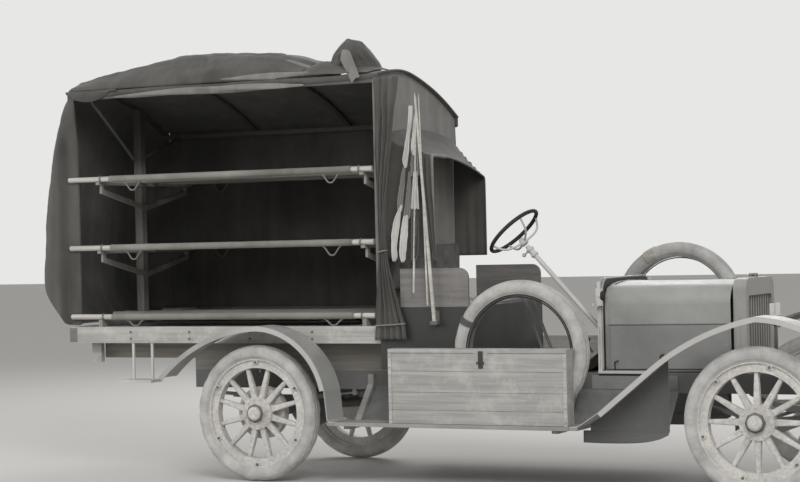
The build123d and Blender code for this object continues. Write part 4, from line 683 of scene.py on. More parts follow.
def make_rear_curtain():
    def plan(u, back):
        """Point on the plan path at a share u of its length, with the outward direction."""
        flat_side = REAR_FRONT - back - CORNER
        quarter = CORNER * math.pi / 2
        half = flat_side + quarter + ROOF_HALF - CORNER
        at = half * (1 - abs(2 * u - 1))
        side = 1 if u < 0.5 else -1
        if at < flat_side:
            return Vector((REAR_FRONT - at, side * ROOF_HALF, 0)), Vector((0, side, 0))
        if at > flat_side + quarter:
            return Vector((back, side * (half - at), 0)), Vector((-1, 0, 0))
        a = (at - flat_side) / CORNER
        out = Vector((-math.sin(a), side * math.cos(a), 0))
        return Vector((back + CORNER, side * (ROOF_HALF - CORNER), 0)) + out * CORNER, out

    def place(u, v):
        base, _ = plan(u, BACK_PROFILE[-1][1])
        top = roof_height(base.y)
        z = HEM_Z + 0.004 + (top - HEM_Z - 0.004) * (1 - v)
        back = curve(BACK_PROFILE, HEM_Z + (BACK_PROFILE[-1][0] - HEM_Z) * (1 - v))
        point, out = plan(u, back)
        near_top = max(0.0, 1 - v / SHOULDER)
        point.x += (REAR_FRONT - point.x) * near_top**2
        loose = min(1.0, v * 3.0)
        ripple = 0.007 * math.sin(u * 70 + 3 * soft_noise(u * 4, v, 0, 4))
        fold = soft_noise(u * 9.0, v * 1.1, 0, 2) * 0.016 + ripple
        sag = 0.010 * math.sin(math.pi * v) + 0.005 * soft_noise(u * 14, v * 9, 0, 3)
        edge = min(1.0, u * 18, (1 - u) * 18)
        inward = 0.4 if fold < 0 else 1.0
        point += out * (fold * loose * edge * inward + sag * edge)
        if point.y < 0:
            beside = clamp((point.x - TUCK_X) / TUCK_GROWS[0])
            below_roof = clamp((TUCK_TOP - z) / TUCK_GROWS[1])
            point.y += TUCK * beside * beside * (3 - 2 * beside) * below_roof
        point.z = z + 0.006 * soft_noise(u * 12, 0, 0, 5) * v
        return point

    back = grid("rear_sheet", 150, 84, place, "canopy_canvas", thickness=0.004, replaces=["rear_curtain"])
    hem = [place(u, 1.0) for u in (0.01, 0.06, 0.12, 0.2, 0.3, 0.42, 0.5, 0.58, 0.7, 0.8, 0.88, 0.94, 0.99)]
    rope("rear_hem", hem, 0.008, "canopy_canvas")
    edge = [place(0.995, v) for v in (0.04, 0.2, 0.4, 0.6, 0.8, 0.98)]
    rope("rear_edge_hem", edge, 0.007, "canopy_canvas")

    def fold_over(u, v):
        """Corner of the thrown-up curtain that folds down over the near rear corner."""
        x = BACK_X + 0.012 + 0.42 * u
        drop = (0.012 + 0.065 * math.sin(math.pi * min(1.0, u * 1.15)) ** 0.8) * v
        bulge = (0.012 * math.sin(math.pi * v) + 0.004 * soft_noise(u * 9, v * 5, 0, 6)) * min(1.0, u * 5)
        return (x, -ROOF_HALF - 0.003 - bulge, NEAR_EAVE[1] + 0.004 - drop)

    corner = grid("corner_fold", 40, 12, fold_over, "canopy_canvas", thickness=0.005, rounding=1)


def make_side_curtain():
    """Far curtain, lapping the rear one's edge."""
    low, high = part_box("side_curtain")
    start = low.x - 0.045

    def place(u, v):
        x = start + (high.x - start) * u
        z = high.z - (high.z - low.z) * v
        fold = 0.007 * math.sin(x * 21 + 2.5 * soft_noise(x * 2, z, 0, 7))
        fold += 0.008 * soft_noise(x * 5, z * 0.8, 0, 8)
        return (x, high.y - 0.001 + (0.010 + fold) * min(1.0, v * 4), z + 0.008 * math.sin(x * 9) * v)

    sheet = grid("side_sheet", 130, 40, place, "canopy_canvas", thickness=0.004, replaces=["side_curtain"])


# Corner curtain: gathered, tied in the middle, flared at the hem
# columns: height, middle of its width, width, depth
GATHER = tuple((z, WALL_X + middle, width, depth) for z, middle, width, depth in (
    (0.912, 0.082, 0.232, 0.046), (1.02, 0.080, 0.205, 0.044), (1.25, 0.055, 0.120, 0.042),
    (1.50, 0.038, 0.054, 0.040), (1.72, 0.040, 0.062, 0.042), (1.90, 0.046, 0.080, 0.044),
    (2.25, 0.068, 0.125, 0.044), (2.574, 0.090, 0.172, 0.044)))


def make_corner_curtain():
    bottom, top = GATHER[0][0], GATHER[-1][0]
    tied_z, loose_z = 1.6, 2.2

    def place(u, v):
        z = bottom + (top - bottom) * v
        middle, width, depth = columns_at(GATHER, z, 3)
        wander = 2.6 * soft_noise(u * 1.9, z * 0.9, 0, 9)
        tight = 1 - clamp((z - tied_z) / (loose_z - tied_z))
        strength = 0.42 + 0.26 * tight + 0.35 * soft_noise(u * 3.1, z * 1.4, 0, 31)
        pleat = 0.5 - 0.5 * strength * math.cos(2 * math.pi * (3.2 + 1.4 * tight) * u + wander)
        body_y = -ROOF_HALF - 0.002 - depth * (0.12 + 0.80 * pleat) + 0.004 * soft_noise(u * 9, z * 6, 0, 10)
        x = middle + width * (u - 0.5) + 0.006 * soft_noise(u * 3, z * 5, 0, 11)
        return (x, min(body_y, -ROOF_HALF - 0.003), z + 0.010 * soft_noise(u * 6, 0, 0, 12) * (1 - v))

    sheet = grid("corner_sheet", 72, 90, place, "canopy_canvas", thickness=0.003, replaces=["corner_curtain"])
    for name, z in (("tie_low", 1.47), ("tie_hem", 1.005)):
        middle, width, depth = columns_at(GATHER, z, 3)
        loop = circle((middle, -ROOF_HALF - 0.002 - depth / 2, z), (width / 2 + 0.004, 0, 0.006),
                      (0, depth / 2 + 0.004, 0), 12)
        rope(name, loop, 0.0045, "bulkhead_canvas", closed=True)


# Side curtain of the open side, thrown up on the roof in one long heap
# columns: x, height of its crest over the crown
HEAP_CREST = tuple((BACK_X + ahead, rise) for ahead, rise in (
    (0.02, 0.045), (0.30, 0.105), (0.60, 0.152), (0.90, 0.180), (1.35, 0.168), (1.60, 0.135), (1.85, 0.075)))


def make_heap():
    start, end = HEAP_CREST[0][0], HEAP_CREST[-1][0]
    near, far = -0.578, 0.125

    def place(u, v):
        x = start + (end - start) * u
        y = near + (far - near) * v
        crest = curve(HEAP_CREST, x)
        near_face = 1 - math.exp(-v * 9.0)
        far_face = 1 - max(0.0, (v - 0.62) / 0.38) ** 2.2
        mound = crest * near_face * far_face * (0.62 + 0.38 * math.sin(math.pi * min(1.0, v * 1.35)))
        long_fold = 0.016 * soft_noise(x * 1.2, y * 11, 0, 13) * near_face * far_face
        slant = (x + 1.62) + 0.55 * (y + 0.30)
        long_fold -= 0.030 * math.exp(-((slant / 0.035) ** 2) - ((v - 0.22) / 0.15) ** 2) * near_face
        cross_fold = 0.008 * soft_noise(x * 8, y * 5, 0, 14) * near_face * far_face
        lift = crest * 0.25 * (1 - abs(2 * v - 1)) + 0.008
        crown = roof_height(y)
        y_out = y - 0.016 * math.exp(-((v - 0.06) / 0.05) ** 2)
        z = crown + lift * 0.3 + mound + long_fold + cross_fold
        return (x + 0.02 * soft_noise(u * 3, v * 4, 0, 15), y_out, z)

    heap = grid("thrown_curtain", 110, 60, place, "canopy_canvas", thickness=0.005,
                replaces=["rolled_curtain"])
    # columns: name, rows of x, y, height over the roof, radius at that place
    rolls = (
        ("eave_roll", ((-2.18, -0.612, -0.048, 0.006), (-1.95, -0.615, -0.044, 0.016),
                       (-1.60, -0.617, -0.040, 0.022), (-1.20, -0.617, -0.042, 0.024),
                       (-0.95, -0.615, -0.044, 0.018), (-0.72, -0.612, -0.046, 0.006))),
        ("hem_roll", ((-1.42, -0.560, 0.014, 0.010), (-1.15, -0.572, 0.016, 0.021),
                      (-0.90, -0.566, 0.014, 0.023), (-0.66, -0.548, 0.012, 0.019),
                      (-0.50, -0.520, 0.010, 0.008))),
    )
    for name, rows in rolls:
        start_x, end_x = rows[0][0], rows[-1][0]

        def around(u, v):
            x = start_x + (end_x - start_x) * v
            y, rise, radius = columns_at(rows, x, 3)
            angle = 2 * math.pi * u
            lobes = 1 + 0.16 * math.sin(3 * angle + x * 9)
            lobes += 0.10 * soft_noise(math.cos(angle) * 2, x * 6, 0, len(name))
            return (x, y - radius * lobes * math.cos(angle),
                    roof_height(y) + rise + radius * lobes * math.sin(angle))

        roll = grid(name, 26, 90, around, "bulkhead_canvas", closed=True)
    # columns: name, points of a twisted hem with height over the roof
    strands = (
        ("strand_back",
         ((-1.02, -0.30, 0.135), (-0.90, -0.33, 0.125), (-0.78, -0.36, 0.09), (-0.66, -0.40, 0.05))),
        ("strand_front",
         ((-0.98, -0.40, 0.10), (-0.88, -0.43, 0.085), (-0.78, -0.46, 0.055), (-0.68, -0.49, 0.03))))
    for name, rows in strands:
        rope(name, [(x, y, roof_height(y) + rise) for x, y, rise in rows], 0.014, "bulkhead_canvas")


def make_bundle():
    """Bundled end of the canvas, with a paler flap over its near side and a fold beneath."""
    low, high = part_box("roof_bundle")
    middle = (low + high) / 2
    # columns: share of the length, height over the roof
    crown = ((0.0, 0.06), (0.10, 0.155), (0.25, 0.205), (0.40, 0.215), (0.55, 0.205), (0.72, 0.150),
             (0.84, 0.100), (0.94, 0.060), (1.0, 0.008))

    def lump(u, v):
        angle = 2 * math.pi * u
        height = curve(crown, v)
        crumple = soft_noise(math.cos(angle) * 3, math.sin(angle) * 3, v * 5, 17)
        crease = 1 + 0.10 * math.sin(5 * angle + 6 * v) + 0.22 * crumple
        half = 0.115 * min(1.0, height / 0.12) ** 0.6
        y = middle.y - 0.03 + half * crease * math.cos(angle)
        rise = max(-0.004, math.sin(angle)) * height * (1 + 0.35 * (crease - 1))
        return (low.x - 0.030 + 0.318 * v, y, roof_height(y) + 0.006 + rise)

    dark = grid("bundle", 60, 44, lump, "canopy_canvas", closed=True, rounding=1, replaces=["roof_bundle"])
    head, foot = Vector((-0.499, -0.470, 2.772)), Vector((-0.333, -0.622, 2.562))
    wide, out = Vector((0.84, 0.0, 0.54)), Vector((0.0, -0.80, 0.60))

    def leaf(u, v):
        width = 0.046 * min(1.0, v * 5) ** 0.5 * (1 - 0.25 * v)
        cup = 0.014 * math.cos(math.pi * (u - 0.5)) + 0.006 * soft_noise(u * 5, v * 6, 0, 18)
        return head.lerp(foot, v) + wide * (u - 0.5) * 2 * width + out * (cup + 0.012 * math.sin(math.pi * v))

    flap = grid("bundle_flap", 20, 30, leaf, "bulkhead_canvas", thickness=0.004, rounding=1)

    corner, size = (-0.94, -0.597), (0.672, 0.36)

    def skirt(u, v):
        x, y = corner[0] + size[0] * u, corner[1] + size[1] * v
        rise = 0.034 * (1 - (2 * u - 1) ** 6) * math.sin(math.pi * (0.08 + 0.8 * v))
        rise += 0.045 * math.exp(-(((x + 0.66) / 0.10) ** 2)) * math.sin(math.pi * v)
        return (x, y, roof_height(y) + 0.004 + rise + 0.006 * soft_noise(x * 9, y * 9, 0, 19))

    under = grid("bundle_fold", 60, 30, skirt, "canopy_canvas", thickness=0.004, rounding=1)


# Cab hood: canvas from the wall to a leaning bow that stands further ahead at the near side
HOOD_LOW, HOOD_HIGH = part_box("cab_hood")
HOOD_HALF = HOOD_HIGH.y - 0.003
# columns: x at the far and the near side, heights of far shoulder, crown and near shoulder over the floor
HOOD_BACK = (WALL_X + 0.004, WALL_X + 0.004, 1.212, 1.272, 1.212)
HOOD_FRONT = (WALL_X + 0.235, WALL_X + 0.365, 0.957, 1.052, 1.072)


def make_hood():
    foot = HOOD_LOW.z + 0.004

    def place(u, v):
        """u goes from the far foot over the top to the near foot, v from the wall to the bow."""
        far_x, near_x, far, crown, near = (a + (b - a) * v for a, b in zip(HOOD_BACK, HOOD_FRONT))
        far, crown, near = far + FLOOR_Z, crown + FLOOR_Z, near + FLOOR_Z
        far_wall, near_wall = far - foot, near - foot
        path = far_wall + near_wall + 2 * HOOD_HALF
        at = u * path
        drop = 0.0
        if at < far_wall:
            y, z = HOOD_HALF, foot + at
            drop = 1 - at / far_wall
        elif at > path - near_wall:
            y, z = -HOOD_HALF, foot + path - at
            drop = 1 - (path - at) / near_wall
        else:
            y = HOOD_HALF - (at - far_wall)
            z = arc_height(y, (HOOD_HALF, far), (0.0, crown), (-HOOD_HALF, near))
            z -= 0.016 * math.sin(math.pi * v)
        share = (HOOD_HALF - y) / (2 * HOOD_HALF)
        x = far_x + (near_x - far_x) * share
        fold = 0.007 * soft_noise(x * 9, y * 3, z * 1.5, 19) * math.sin(math.pi * v)
        fold += 0.008 * math.sin(v * 22) * drop * v
        if drop:
            return (x, y + (fold if y > 0 else -fold), z)
        return (x, y, z + fold)

    hood = grid("hood_sheet", 120, 24, place, "canopy_canvas", thickness=0.004, replaces=["cab_hood"])
    near_bow = [place(u, 1.0) for u in (0.60, 0.64, 0.67, 0.69, 0.705, 0.72, 0.76, 0.85, 0.93, 1.0)]
    rope("hood_bow_near", near_bow, 0.011, "bed_canvas")
    far_bow = [place(u, 1.0) for u in (0.0, 0.08, 0.16, 0.22, 0.235, 0.25, 0.30, 0.38, 0.46, 0.54, 0.60)]
    rope("hood_bow_far", far_bow, 0.006, "canopy_canvas")

    strip_top, strip_length = 2.062, 0.665

    def strip(u, v):
        """Loose edge of the hood at the near side, drawn in to a tied point."""
        z = strip_top - v * strip_length
        width = 0.062 * (1 - v**2.2) + 0.012
        right = 0.160 + 0.030 * v
        pleat = 0.010 * math.sin(u * 13 + 2 * soft_noise(u, z * 3, 0, 20))
        return (right - width * (1 - u), -0.583 - pleat - 0.004, z)

    hanging = grid("hood_strip", 18, 60, strip, "canopy_canvas", thickness=0.003)


# Stretcher canvases, sleeved on their poles and sagging between them
TIERS = (1.062, 1.532, 2.000)
POLE = 0.018
HOOK = POLE + 0.0055
POLE_YS = (0.574, 0.070)
FOOT_XS = (-2.08, -0.56)
# Share of a bed's cut width that goes round each pole, and the angle that it covers in degrees
SLEEVE = 0.22
SLEEVE_TURN = 210
# columns: place along a bent foot, share of its depth
FOOT_BEND = ((-1, 0), (-0.75, 0.12), (-0.30, 0.92), (0, 1), (0.30, 0.92), (0.75, 0.12), (1, 0))


def make_beds():
    start, end = (corner.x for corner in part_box("stretcher_beds"))
    for tier, pole_z in enumerate(TIERS):
        for hand, side in HANDS:
            def place(u, v):
                x = start + (end - start) * v
                sleeve = POLE + 0.0035 + 0.0012 * soft_noise(x * 14, side, tier, 21)
                if min(u, 1 - u) < SLEEVE:
                    inner = u > 0.5
                    from_top = (u - 1 + SLEEVE if inner else u - SLEEVE) / SLEEVE
                    a = math.radians(90 + SLEEVE_TURN * from_top)
                    y = POLE_YS[inner] + sleeve * math.cos(a)
                    z = pole_z + sleeve * math.sin(a)
                else:
                    w = (u - SLEEVE) / (1 - 2 * SLEEVE)
                    y = POLE_YS[0] + (POLE_YS[1] - POLE_YS[0]) * w
                    ends = min(1.0, v * 9, (1 - v) * 9)
                    sag = 0.010 + 0.022 * ends + 0.003 * soft_noise(x * 4, w * 4, tier, 22)
                    z = pole_z + sleeve - sag * math.sin(math.pi * w)
                return (x + 0.004 * soft_noise(u * 8, 0, tier, 23) * (1 if v > 0.99 else 0), side * y, z)

            bed = grid(f"bed_{hand}_{tier}", 40, 60, place, "bed_canvas", thickness=0.0018,
                       replaces=["stretcher_beds"])


# Seat cushions, blown up by a short cloth simulation and buttoned
SEAT_LOW, SEAT_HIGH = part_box("seat_cushions")
SWELL_FRAMES = 20
SWELL_PRESSURE = 4.0
DENT = 0.028
CHANNEL = 0.008
CHANNEL_SHARE = 0.35


def evaluated(made):
    return bpy.data.meshes.new_from_object(made.evaluated_get(bpy.context.evaluated_depsgraph_get()))


def pad(name, low, high, slot, voxel, cap, crown):
    """Padded block from low to high: swollen by cloth pressure, no point moved more than cap."""
    work = bmesh.new()
    shrunk = high - low - Vector((2, 2, 2)) * cap * 0.6
    place = Matrix.Translation((low + high) / 2) @ Matrix.Diagonal((*shrunk, 1))
    bmesh.ops.create_cube(work, size=1.0, matrix=place)
    bmesh.ops.bevel(work, geom=work.edges[:], offset=min(shrunk) * 0.22, segments=3, profile=0.5,
                    affect="EDGES")
    filling = bpy.data.objects.new("filling", mesh_of(name, work))
    scene.collection.objects.link(filling)
    remesh = filling.modifiers.new("remesh", "REMESH")
    remesh.mode = "VOXEL"
    remesh.voxel_size = voxel
    mesh = evaluated(filling)
    filling.modifiers.clear()
    filling.data = mesh
    before = [v.co.copy() for v in mesh.vertices]
    cloth = filling.modifiers.new("cloth", "CLOTH")
    cloth.settings.use_pressure = True
    cloth.settings.uniform_pressure_force = SWELL_PRESSURE
    cloth.settings.effector_weights.gravity = 0.0
    cloth.settings.quality = 4
    for number in range(1, SWELL_FRAMES + 1):
        scene.frame_set(number)
    mesh = evaluated(filling)
    for old, vertex in zip(before, mesh.vertices):
        move = vertex.co - old
        if move.length > cap:
            vertex.co = old + move.normalized() * cap
    scene.frame_set(1)
    bpy.data.objects.remove(filling)
    for vertex in mesh.vertices:
        vertex.co += crown(vertex.co)
        for axis in range(3):
            vertex.co[axis] = min(max(vertex.co[axis], low[axis] - 0.001), high[axis] + 0.004)
    cushion = adopt(name, mesh, slot, replaces=["seat_cushions"])
    round_off(cushion, 1)


def tuft(co, rows, columns, spacing, start, axes, depth):
    """Depth of the buttoned dents and the channels between them at a point."""
    a, b = (co[axis] - first for axis, first in zip(axes, start))
    nearest = min(math.hypot(a - i * spacing[0], b - j * spacing[1])
                  for i in range(rows) for j in range(columns))
    beside = min(abs(b - j * spacing[1]) for j in range(columns))
    dent = math.exp(-(nearest / DENT) ** 2)
    channel = math.exp(-(beside / CHANNEL) ** 2) * CHANNEL_SHARE
    return depth * max(dent, channel)


def make_cushions():
    seat_low = Vector((WALL_X + 0.022, SEAT_LOW.y, SEAT_LOW.z))
    seat_high = Vector((SEAT_HIGH.x, SEAT_HIGH.y, SEAT_LOW.z + 0.135))
    columns, rows = 6, 3
    spacing = (0.17, (seat_high.y - seat_low.y) / columns)
    start = (seat_low.x + 0.12, seat_low.y + spacing[1] / 2)

    def seat_shape(co):
        if co.z < seat_high.z - 0.035:
            return Vector((0, 0, 0))
        return Vector((0, 0, -tuft(co, rows, columns, spacing, start, (0, 1), 0.016)))

    pad("seat_cushion", seat_low, seat_high, "seat_leather", 0.012, 0.014, seat_shape)
    back_half = 0.52
    back_low = Vector((SEAT_LOW.x, -back_half, FLOOR_Z + 0.210))
    back_high = Vector((WALL_X + 0.070, back_half, SEAT_HIGH.z))
    back_spacing = (0.105, 2 * back_half / columns)
    back_start = (back_low.z + 0.055, back_low.y + back_spacing[1] / 2)

    def back_shape(co):
        if co.x < back_high.x - 0.025:
            return Vector((0, 0, 0))
        return Vector((-tuft(co, rows, columns, back_spacing, back_start, (2, 1), 0.012), 0, 0))

    pad("back_cushion", back_low, back_high, "seat_leather", 0.011, 0.010, back_shape)
    buttons = []
    for i in range(rows):
        for j in range(columns):
            ahead, across = start[0] + i * spacing[0], start[1] + j * spacing[1]
            buttons.append(((ahead, across, seat_high.z - 0.016), (0, 0, 1)))
            up, across = back_start[0] + i * back_spacing[0], back_start[1] + j * back_spacing[1]
            buttons.append(((back_high.x - 0.012, across, up), (1, 0, 0)))
    bolts("seat_buttons", buttons, "seat_leather", 0.009, 0.005, sides=10)


# Furled flags: gathered leaves of cloth round the poles, in one upright plane
FLAG_Y = -0.636
# columns: name, slot, depth from the plane, rows of height, rear edge's x and front edge's x
LEAVES = (
    ("flag_upper_a", "flag_cloth", -0.008, (
        (2.38, 0.044, 0.076), (2.292, 0.038, 0.068), (2.199, 0.025, 0.052), (2.105, 0.005, 0.041),
        (2.043, -0.005, 0.032), (1.993, 0.006, 0.022))),
    ("flag_middle_a", "bulkhead_canvas", -0.001, (
        (2.005, -0.011, 0.020), (1.968, -0.021, 0.011), (1.855, -0.040, -0.001), (1.761, -0.053, -0.014),
        (1.717, -0.047, -0.019))),
    ("flag_lower_a", "flag_cloth", -0.009, (
        (1.755, -0.024, -0.010), (1.684, -0.069, -0.026), (1.636, -0.088, -0.031), (1.567, -0.098, -0.044),
        (1.479, -0.098, -0.057), (1.428, -0.096, -0.059), (1.403, -0.087, -0.069))),
    ("flag_fold_b", "bulkhead_canvas", 0.004, (
        (1.967, 0.026, 0.047), (1.822, 0.008, 0.047), (1.728, -0.008, 0.041), (1.672, -0.014, 0.030))),
    ("flag_lower_b", "flag_cloth", -0.005, (
        (1.691, -0.014, 0.027), (1.617, -0.030, 0.023), (1.522, -0.043, 0.013), (1.459, -0.046, 0.003),
        (1.421, -0.037, -0.003), (1.402, -0.030, -0.014))),
    ("flag_upper_c", "flag_cloth", -0.003, (
        (2.316, 0.079, 0.100), (2.197, 0.064, 0.088), (2.104, 0.054, 0.080), (2.066, 0.064, 0.078))),
    ("flag_middle_c", "bulkhead_canvas", 0.003, (
        (2.103, 0.051, 0.099), (2.009, 0.045, 0.101), (1.940, 0.046, 0.102))),
    ("flag_patch_c", "flag_cloth", -0.006, (
        (1.965, 0.065, 0.096), (1.833, 0.053, 0.099), (1.730, 0.048, 0.102))),
    ("flag_lower_c", "canopy_canvas", 0.001, (
        (1.733, 0.041, 0.104), (1.570, 0.036, 0.096), (1.445, 0.035, 0.086), (1.401, 0.039, 0.067))),
)
# columns: name, foot, top, radius
POLES = (
    ("pole_stout", (0.186, 1.022), (0.085, 2.462), 0.0125),
    ("pole_thin", (0.142, 1.125), (0.112, 2.455), 0.0065),
    ("pole_short", (0.047, 1.205), (0.094, 2.440), 0.0075),
)


def make_flags():
    for seed, (name, slot, depth, rows) in enumerate(LEAVES):
        top, bottom = rows[0][0], rows[-1][0]

        def leaf(u, v):
            z = top + (bottom - top) * v
            left, right = columns_at(rows[::-1], z, 2)
            wave = math.cos(2 * math.pi * 2.5 * u + 2.0 * v + 1.4 * soft_noise(u * 2, v * 3, 0, seed))
            x = left + (right - left) * u + 0.002 * soft_noise(v * 9, u * 2, 0, seed + 20)
            return (x, FLAG_Y + depth + (0.0012 + 0.13 * (right - left)) * wave,
                    z + 0.010 * soft_noise(u * 3, v, 0, seed + 40))

        flag = grid(name, 44, 60, leaf, slot, thickness=0.0008, replaces=["furled_flags"])
    for name, foot, top, radius in POLES:
        a, b = Vector((foot[0], FLAG_Y, foot[1])), Vector((top[0], FLAG_Y, top[1]))

        def stick(u, v):
            taper = radius * (1.0 - 0.45 * v) * (1 if v < 0.995 else 0.3)
            angle = 2 * math.pi * u
            return a.lerp(b, v) + Vector((math.cos(angle) * taper, math.sin(angle) * taper, 0))

        grid(name, 14, 40, stick, "pole_wood", closed=True)
    foot = POLES[0][1]
    socket = [((foot[0], FLAG_Y + 0.012, foot[1] - 0.006), (0.052, 0.050, 0.024)),
              ((foot[0], FLAG_Y + 0.036, foot[1] + 0.035), (0.040, 0.006, 0.070))]
    bars("pole_socket", socket, "chassis_paint", 0.003)


def make_box_boards():
    """Boards, corner irons, latch and handle on the stowage boxes."""
    rim_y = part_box("side_boxes")[1].y
    inset, latch_share = 0.012, 0.53
    board_edges = (0.403, 0.488, 0.598, 0.727, 0.838)
    vertices = [v.co for v in frame["nodes"]["side_boxes"].data.vertices]
    for hand, side in HANDS:
        own = [v.x for v in vertices if v.y * side > 0]
        start, end = min(own), max(own)
        face = side * (rim_y - 0.006)
        boards = [(((start + end) / 2, face + side * 0.0015, (low + high) / 2),
                   (end - start - 0.004, 0.006, high - low - 0.0018))
                  for low, high in zip(board_edges, board_edges[1:])]
        bars(f"box_boards_{hand}", boards, "box_wood", 0.0015)
        corners = (start + inset, end - inset)
        irons = [((x, face + side * 0.005, 0.620), (0.022, 0.008, 0.436)) for x in corners]
        bars(f"box_corner_irons_{hand}", irons, "sill_wood", 0.0015)
        nails = [((x, face + side * 0.009, z), (0, side, 0))
                 for z in (0.425, 0.51, 0.62, 0.75, 0.815) for x in corners]
        bolts(f"box_nails_{hand}", nails, "chassis_paint", 0.0035, 0.0012, sides=8)
        latch_x = start + (end - start) * latch_share
        bars(f"box_latch_{hand}", [((latch_x, face + side * 0.0085, 0.800), (0.030, 0.006, 0.105)),
                                   ((latch_x, face + side * 0.013, 0.782), (0.050, 0.008, 0.012))],
             "dark_paint", 0.0015)
        grip = [(start - out, side * y, 0.62)
                for out, y in ((0.003, 0.762), (0.024, 0.762), (0.024, 0.800), (0.003, 0.800))]
        rope(f"box_handle_{hand}", grip, 0.005, "chassis_paint")


def make_running_boards():
    """Metal edging on the running boards, between the two fenders' feet."""
    low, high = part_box("running_boards")
    start, end = low.x + 0.055, high.x - 0.055
    for hand, side in HANDS:
        edge = ((start + end) / 2, side * (high.y + 0.002), BOARD_TOP - 0.010)
        bars(f"board_edge_{hand}", [(edge, (end - start, 0.005, 0.024))], "radiator_metal", 0.002)


def make_bonnet_trim():
    low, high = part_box("bonnet_left")
    back_half, front_half = high.y, high.y - 0.096
    band_x, band_width = 1.2375, 0.024

    def half_at(x):
        return back_half + (front_half - back_half) * (x - low.x) / (high.x - low.x)

    for hand, side in HANDS:
        body = f"bonnet_{hand}"
        for name, z, slot in (("seam", BONNET_SEAM - 0.003, "chassis_paint"), ("welt", 0.719, "dark_paint")):
            ends = [(x, side * (half_at(x) + 0.0005), z) for x in (low.x + 0.004, high.x - 0.004)]
            rope(f"bonnet_{name}_{hand}", ends, 0.0038, slot, body)
        for end, x, half in (("back", low.x + 0.010, back_half - 0.001),
                             ("front", high.x - 0.010, front_half + 0.001)):
            rows = ((side * half, low.z + 0.01), (side * half, 1.10), (side * (half - 0.012), 1.165),
                    (side * (half - 0.05), 1.212), (side * (half - 0.14), 1.235),
                    (side * (half * 0.35), 1.248), (side * 0.012, 1.252))
            bead = [(x, y, z) for y, z in rows]
            rope(f"bonnet_bead_{hand}_{end}", bead, 0.0032, "body_paint", body)
        section = (
            (back_half + 0.0015, low.z + 0.004), (back_half + 0.0015, 1.02), (back_half + 0.0015, 1.105),
            (back_half - 0.009, 1.168), (back_half - 0.046, 1.216), (back_half - 0.136, 1.240),
            (0.17, 1.2515), (0.013, 1.2545))

        def band(u, v):
            at = u * (len(section) - 1)
            first = min(len(section) - 2, int(at))
            (y0, z0), (y1, z1) = section[first], section[first + 1]
            share = at - first
            return (band_x + band_width * v, side * (y0 + (y1 - y0) * share), z0 + (z1 - z0) * share)

        grid(f"bonnet_band_{hand}", 56, 4, band, "body_paint", thickness=0.002, body=body)
        for number, (x, foot, head) in enumerate(((1.297, 0.722, 0.771), (1.577, 0.760, 0.809))):
            y = side * half_at(x)
            catch = [(x, y + side * 0.004, foot), (x, y + side * 0.011, (foot + head) / 2),
                     (x, y + side * 0.012, head - 0.002), (x + 0.026, y + side * 0.012, head)]
            rope(f"bonnet_catch_{number}_{hand}", catch, 0.004, "rim_black", body)
    twin_bars("bonnet_ledge", [((1.40, 0.437, 0.7035), (0.41, 0.014, 0.017))], "pale_paint", 0.0015)
    twin_bars("rail_plates", [((1.425, 0.4325, 0.642), (0.55, 0.005, 0.084))], "body_paint", 0.001)
    # Painted shade: black strips for the shadow under the bonnet ledge and along the rails' lower edge
    twin_bars("rail_lines", [((1.34, 0.4355, 0.687), (0.29, 0.006, 0.008)),
                             ((1.425, 0.4325, 0.590), (0.55, 0.006, 0.010))], "rim_black", 0.001)
    twin_bars("dash_mouldings", [((1.209, 0.4350, 0.904), (0.026, 0.006, 0.398))], "pale_paint", 0.0015)
    rivets = facing_out([(1.19 + 0.06 * i, 0.4350, 0.640) for i in range(8)])
    bolts("plate_rivets", rivets, "body_paint", 0.004, 0.002, sides=10)


def make_fender_skirts():
    """Hanging plate under each front fender's apron."""
    # columns: x, height of the lower edge
    edge = ((1.160, 0.290), (1.340, 0.288), (1.530, 0.296), (1.640, 0.318), (1.700, 0.345))
    start, end, top = edge[0][0], edge[-1][0], 0.364
    for hand, side in HANDS:
        def plate(u, v):
            x = start + (end - start) * u
            return (x, side * (0.6205 + 0.003 * v), top + (curve(edge, x) - top) * v)

        grid(f"fender_skirt_{hand}", 30, 8, plate, "fender_paint", thickness=0.003)


def make_rear_frame():
    """Wooden runners behind the axle under the floor, and a block at each rear corner."""
    twin_bars("rear_runners", [((-2.065, 0.395, 0.8305), (0.730, 0.070, 0.109))], "plank_wood", 0.004)
    twin_bars("rear_blocks", [((-2.435, 0.505, 0.8175), (0.076, 0.040, 0.133))], "box_wood", 0.004)


def make_lamp_details():
    """Blades over the empty lamp forks and dark lenses in the side lamps."""
    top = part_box("lamp_brackets")[1].z
    fork_x, fork_y, fork_half = 2.300, 0.407, 0.062
    blades = [((fork_x, fork_y + shift, top - 0.036), (0.030, 0.009, 0.076))
              for shift in (-fork_half, fork_half)]
    blades.append(((fork_x, fork_y, 0.960), (0.030, 0.014, 0.160)))
    twin_bars("lamp_blades", blades, "pale_paint")
    lens = ((0.0, 0.0), (0.026, 0.0), (0.0295, -0.003), (0.0295, -0.014), (0.024, -0.015), (0.0, -0.015))
    for hand, side in HANDS:
        lathe(f"side_lens_{hand}", lens, 28, (1.2525, side * 0.468, 1.172), (1, 0, 0), "rim_black")


# Steering wheel: rim round the column's line and four bent spokes from its hub
COLUMN_TOP = Vector((0.677, -0.330, 1.505))
COLUMN_UP = Vector((-0.67747, 0, 0.73557))
RIM_RADIUS = 0.184
RIM_RISE = 0.100
# columns: place from the axis, height over the column's top, of a spoke from hub to rim
SPIDER = ((0.018, 0.004), (0.055, 0.006), (0.100, 0.013), (0.135, 0.028), (0.160, 0.056), (0.183, 0.098))


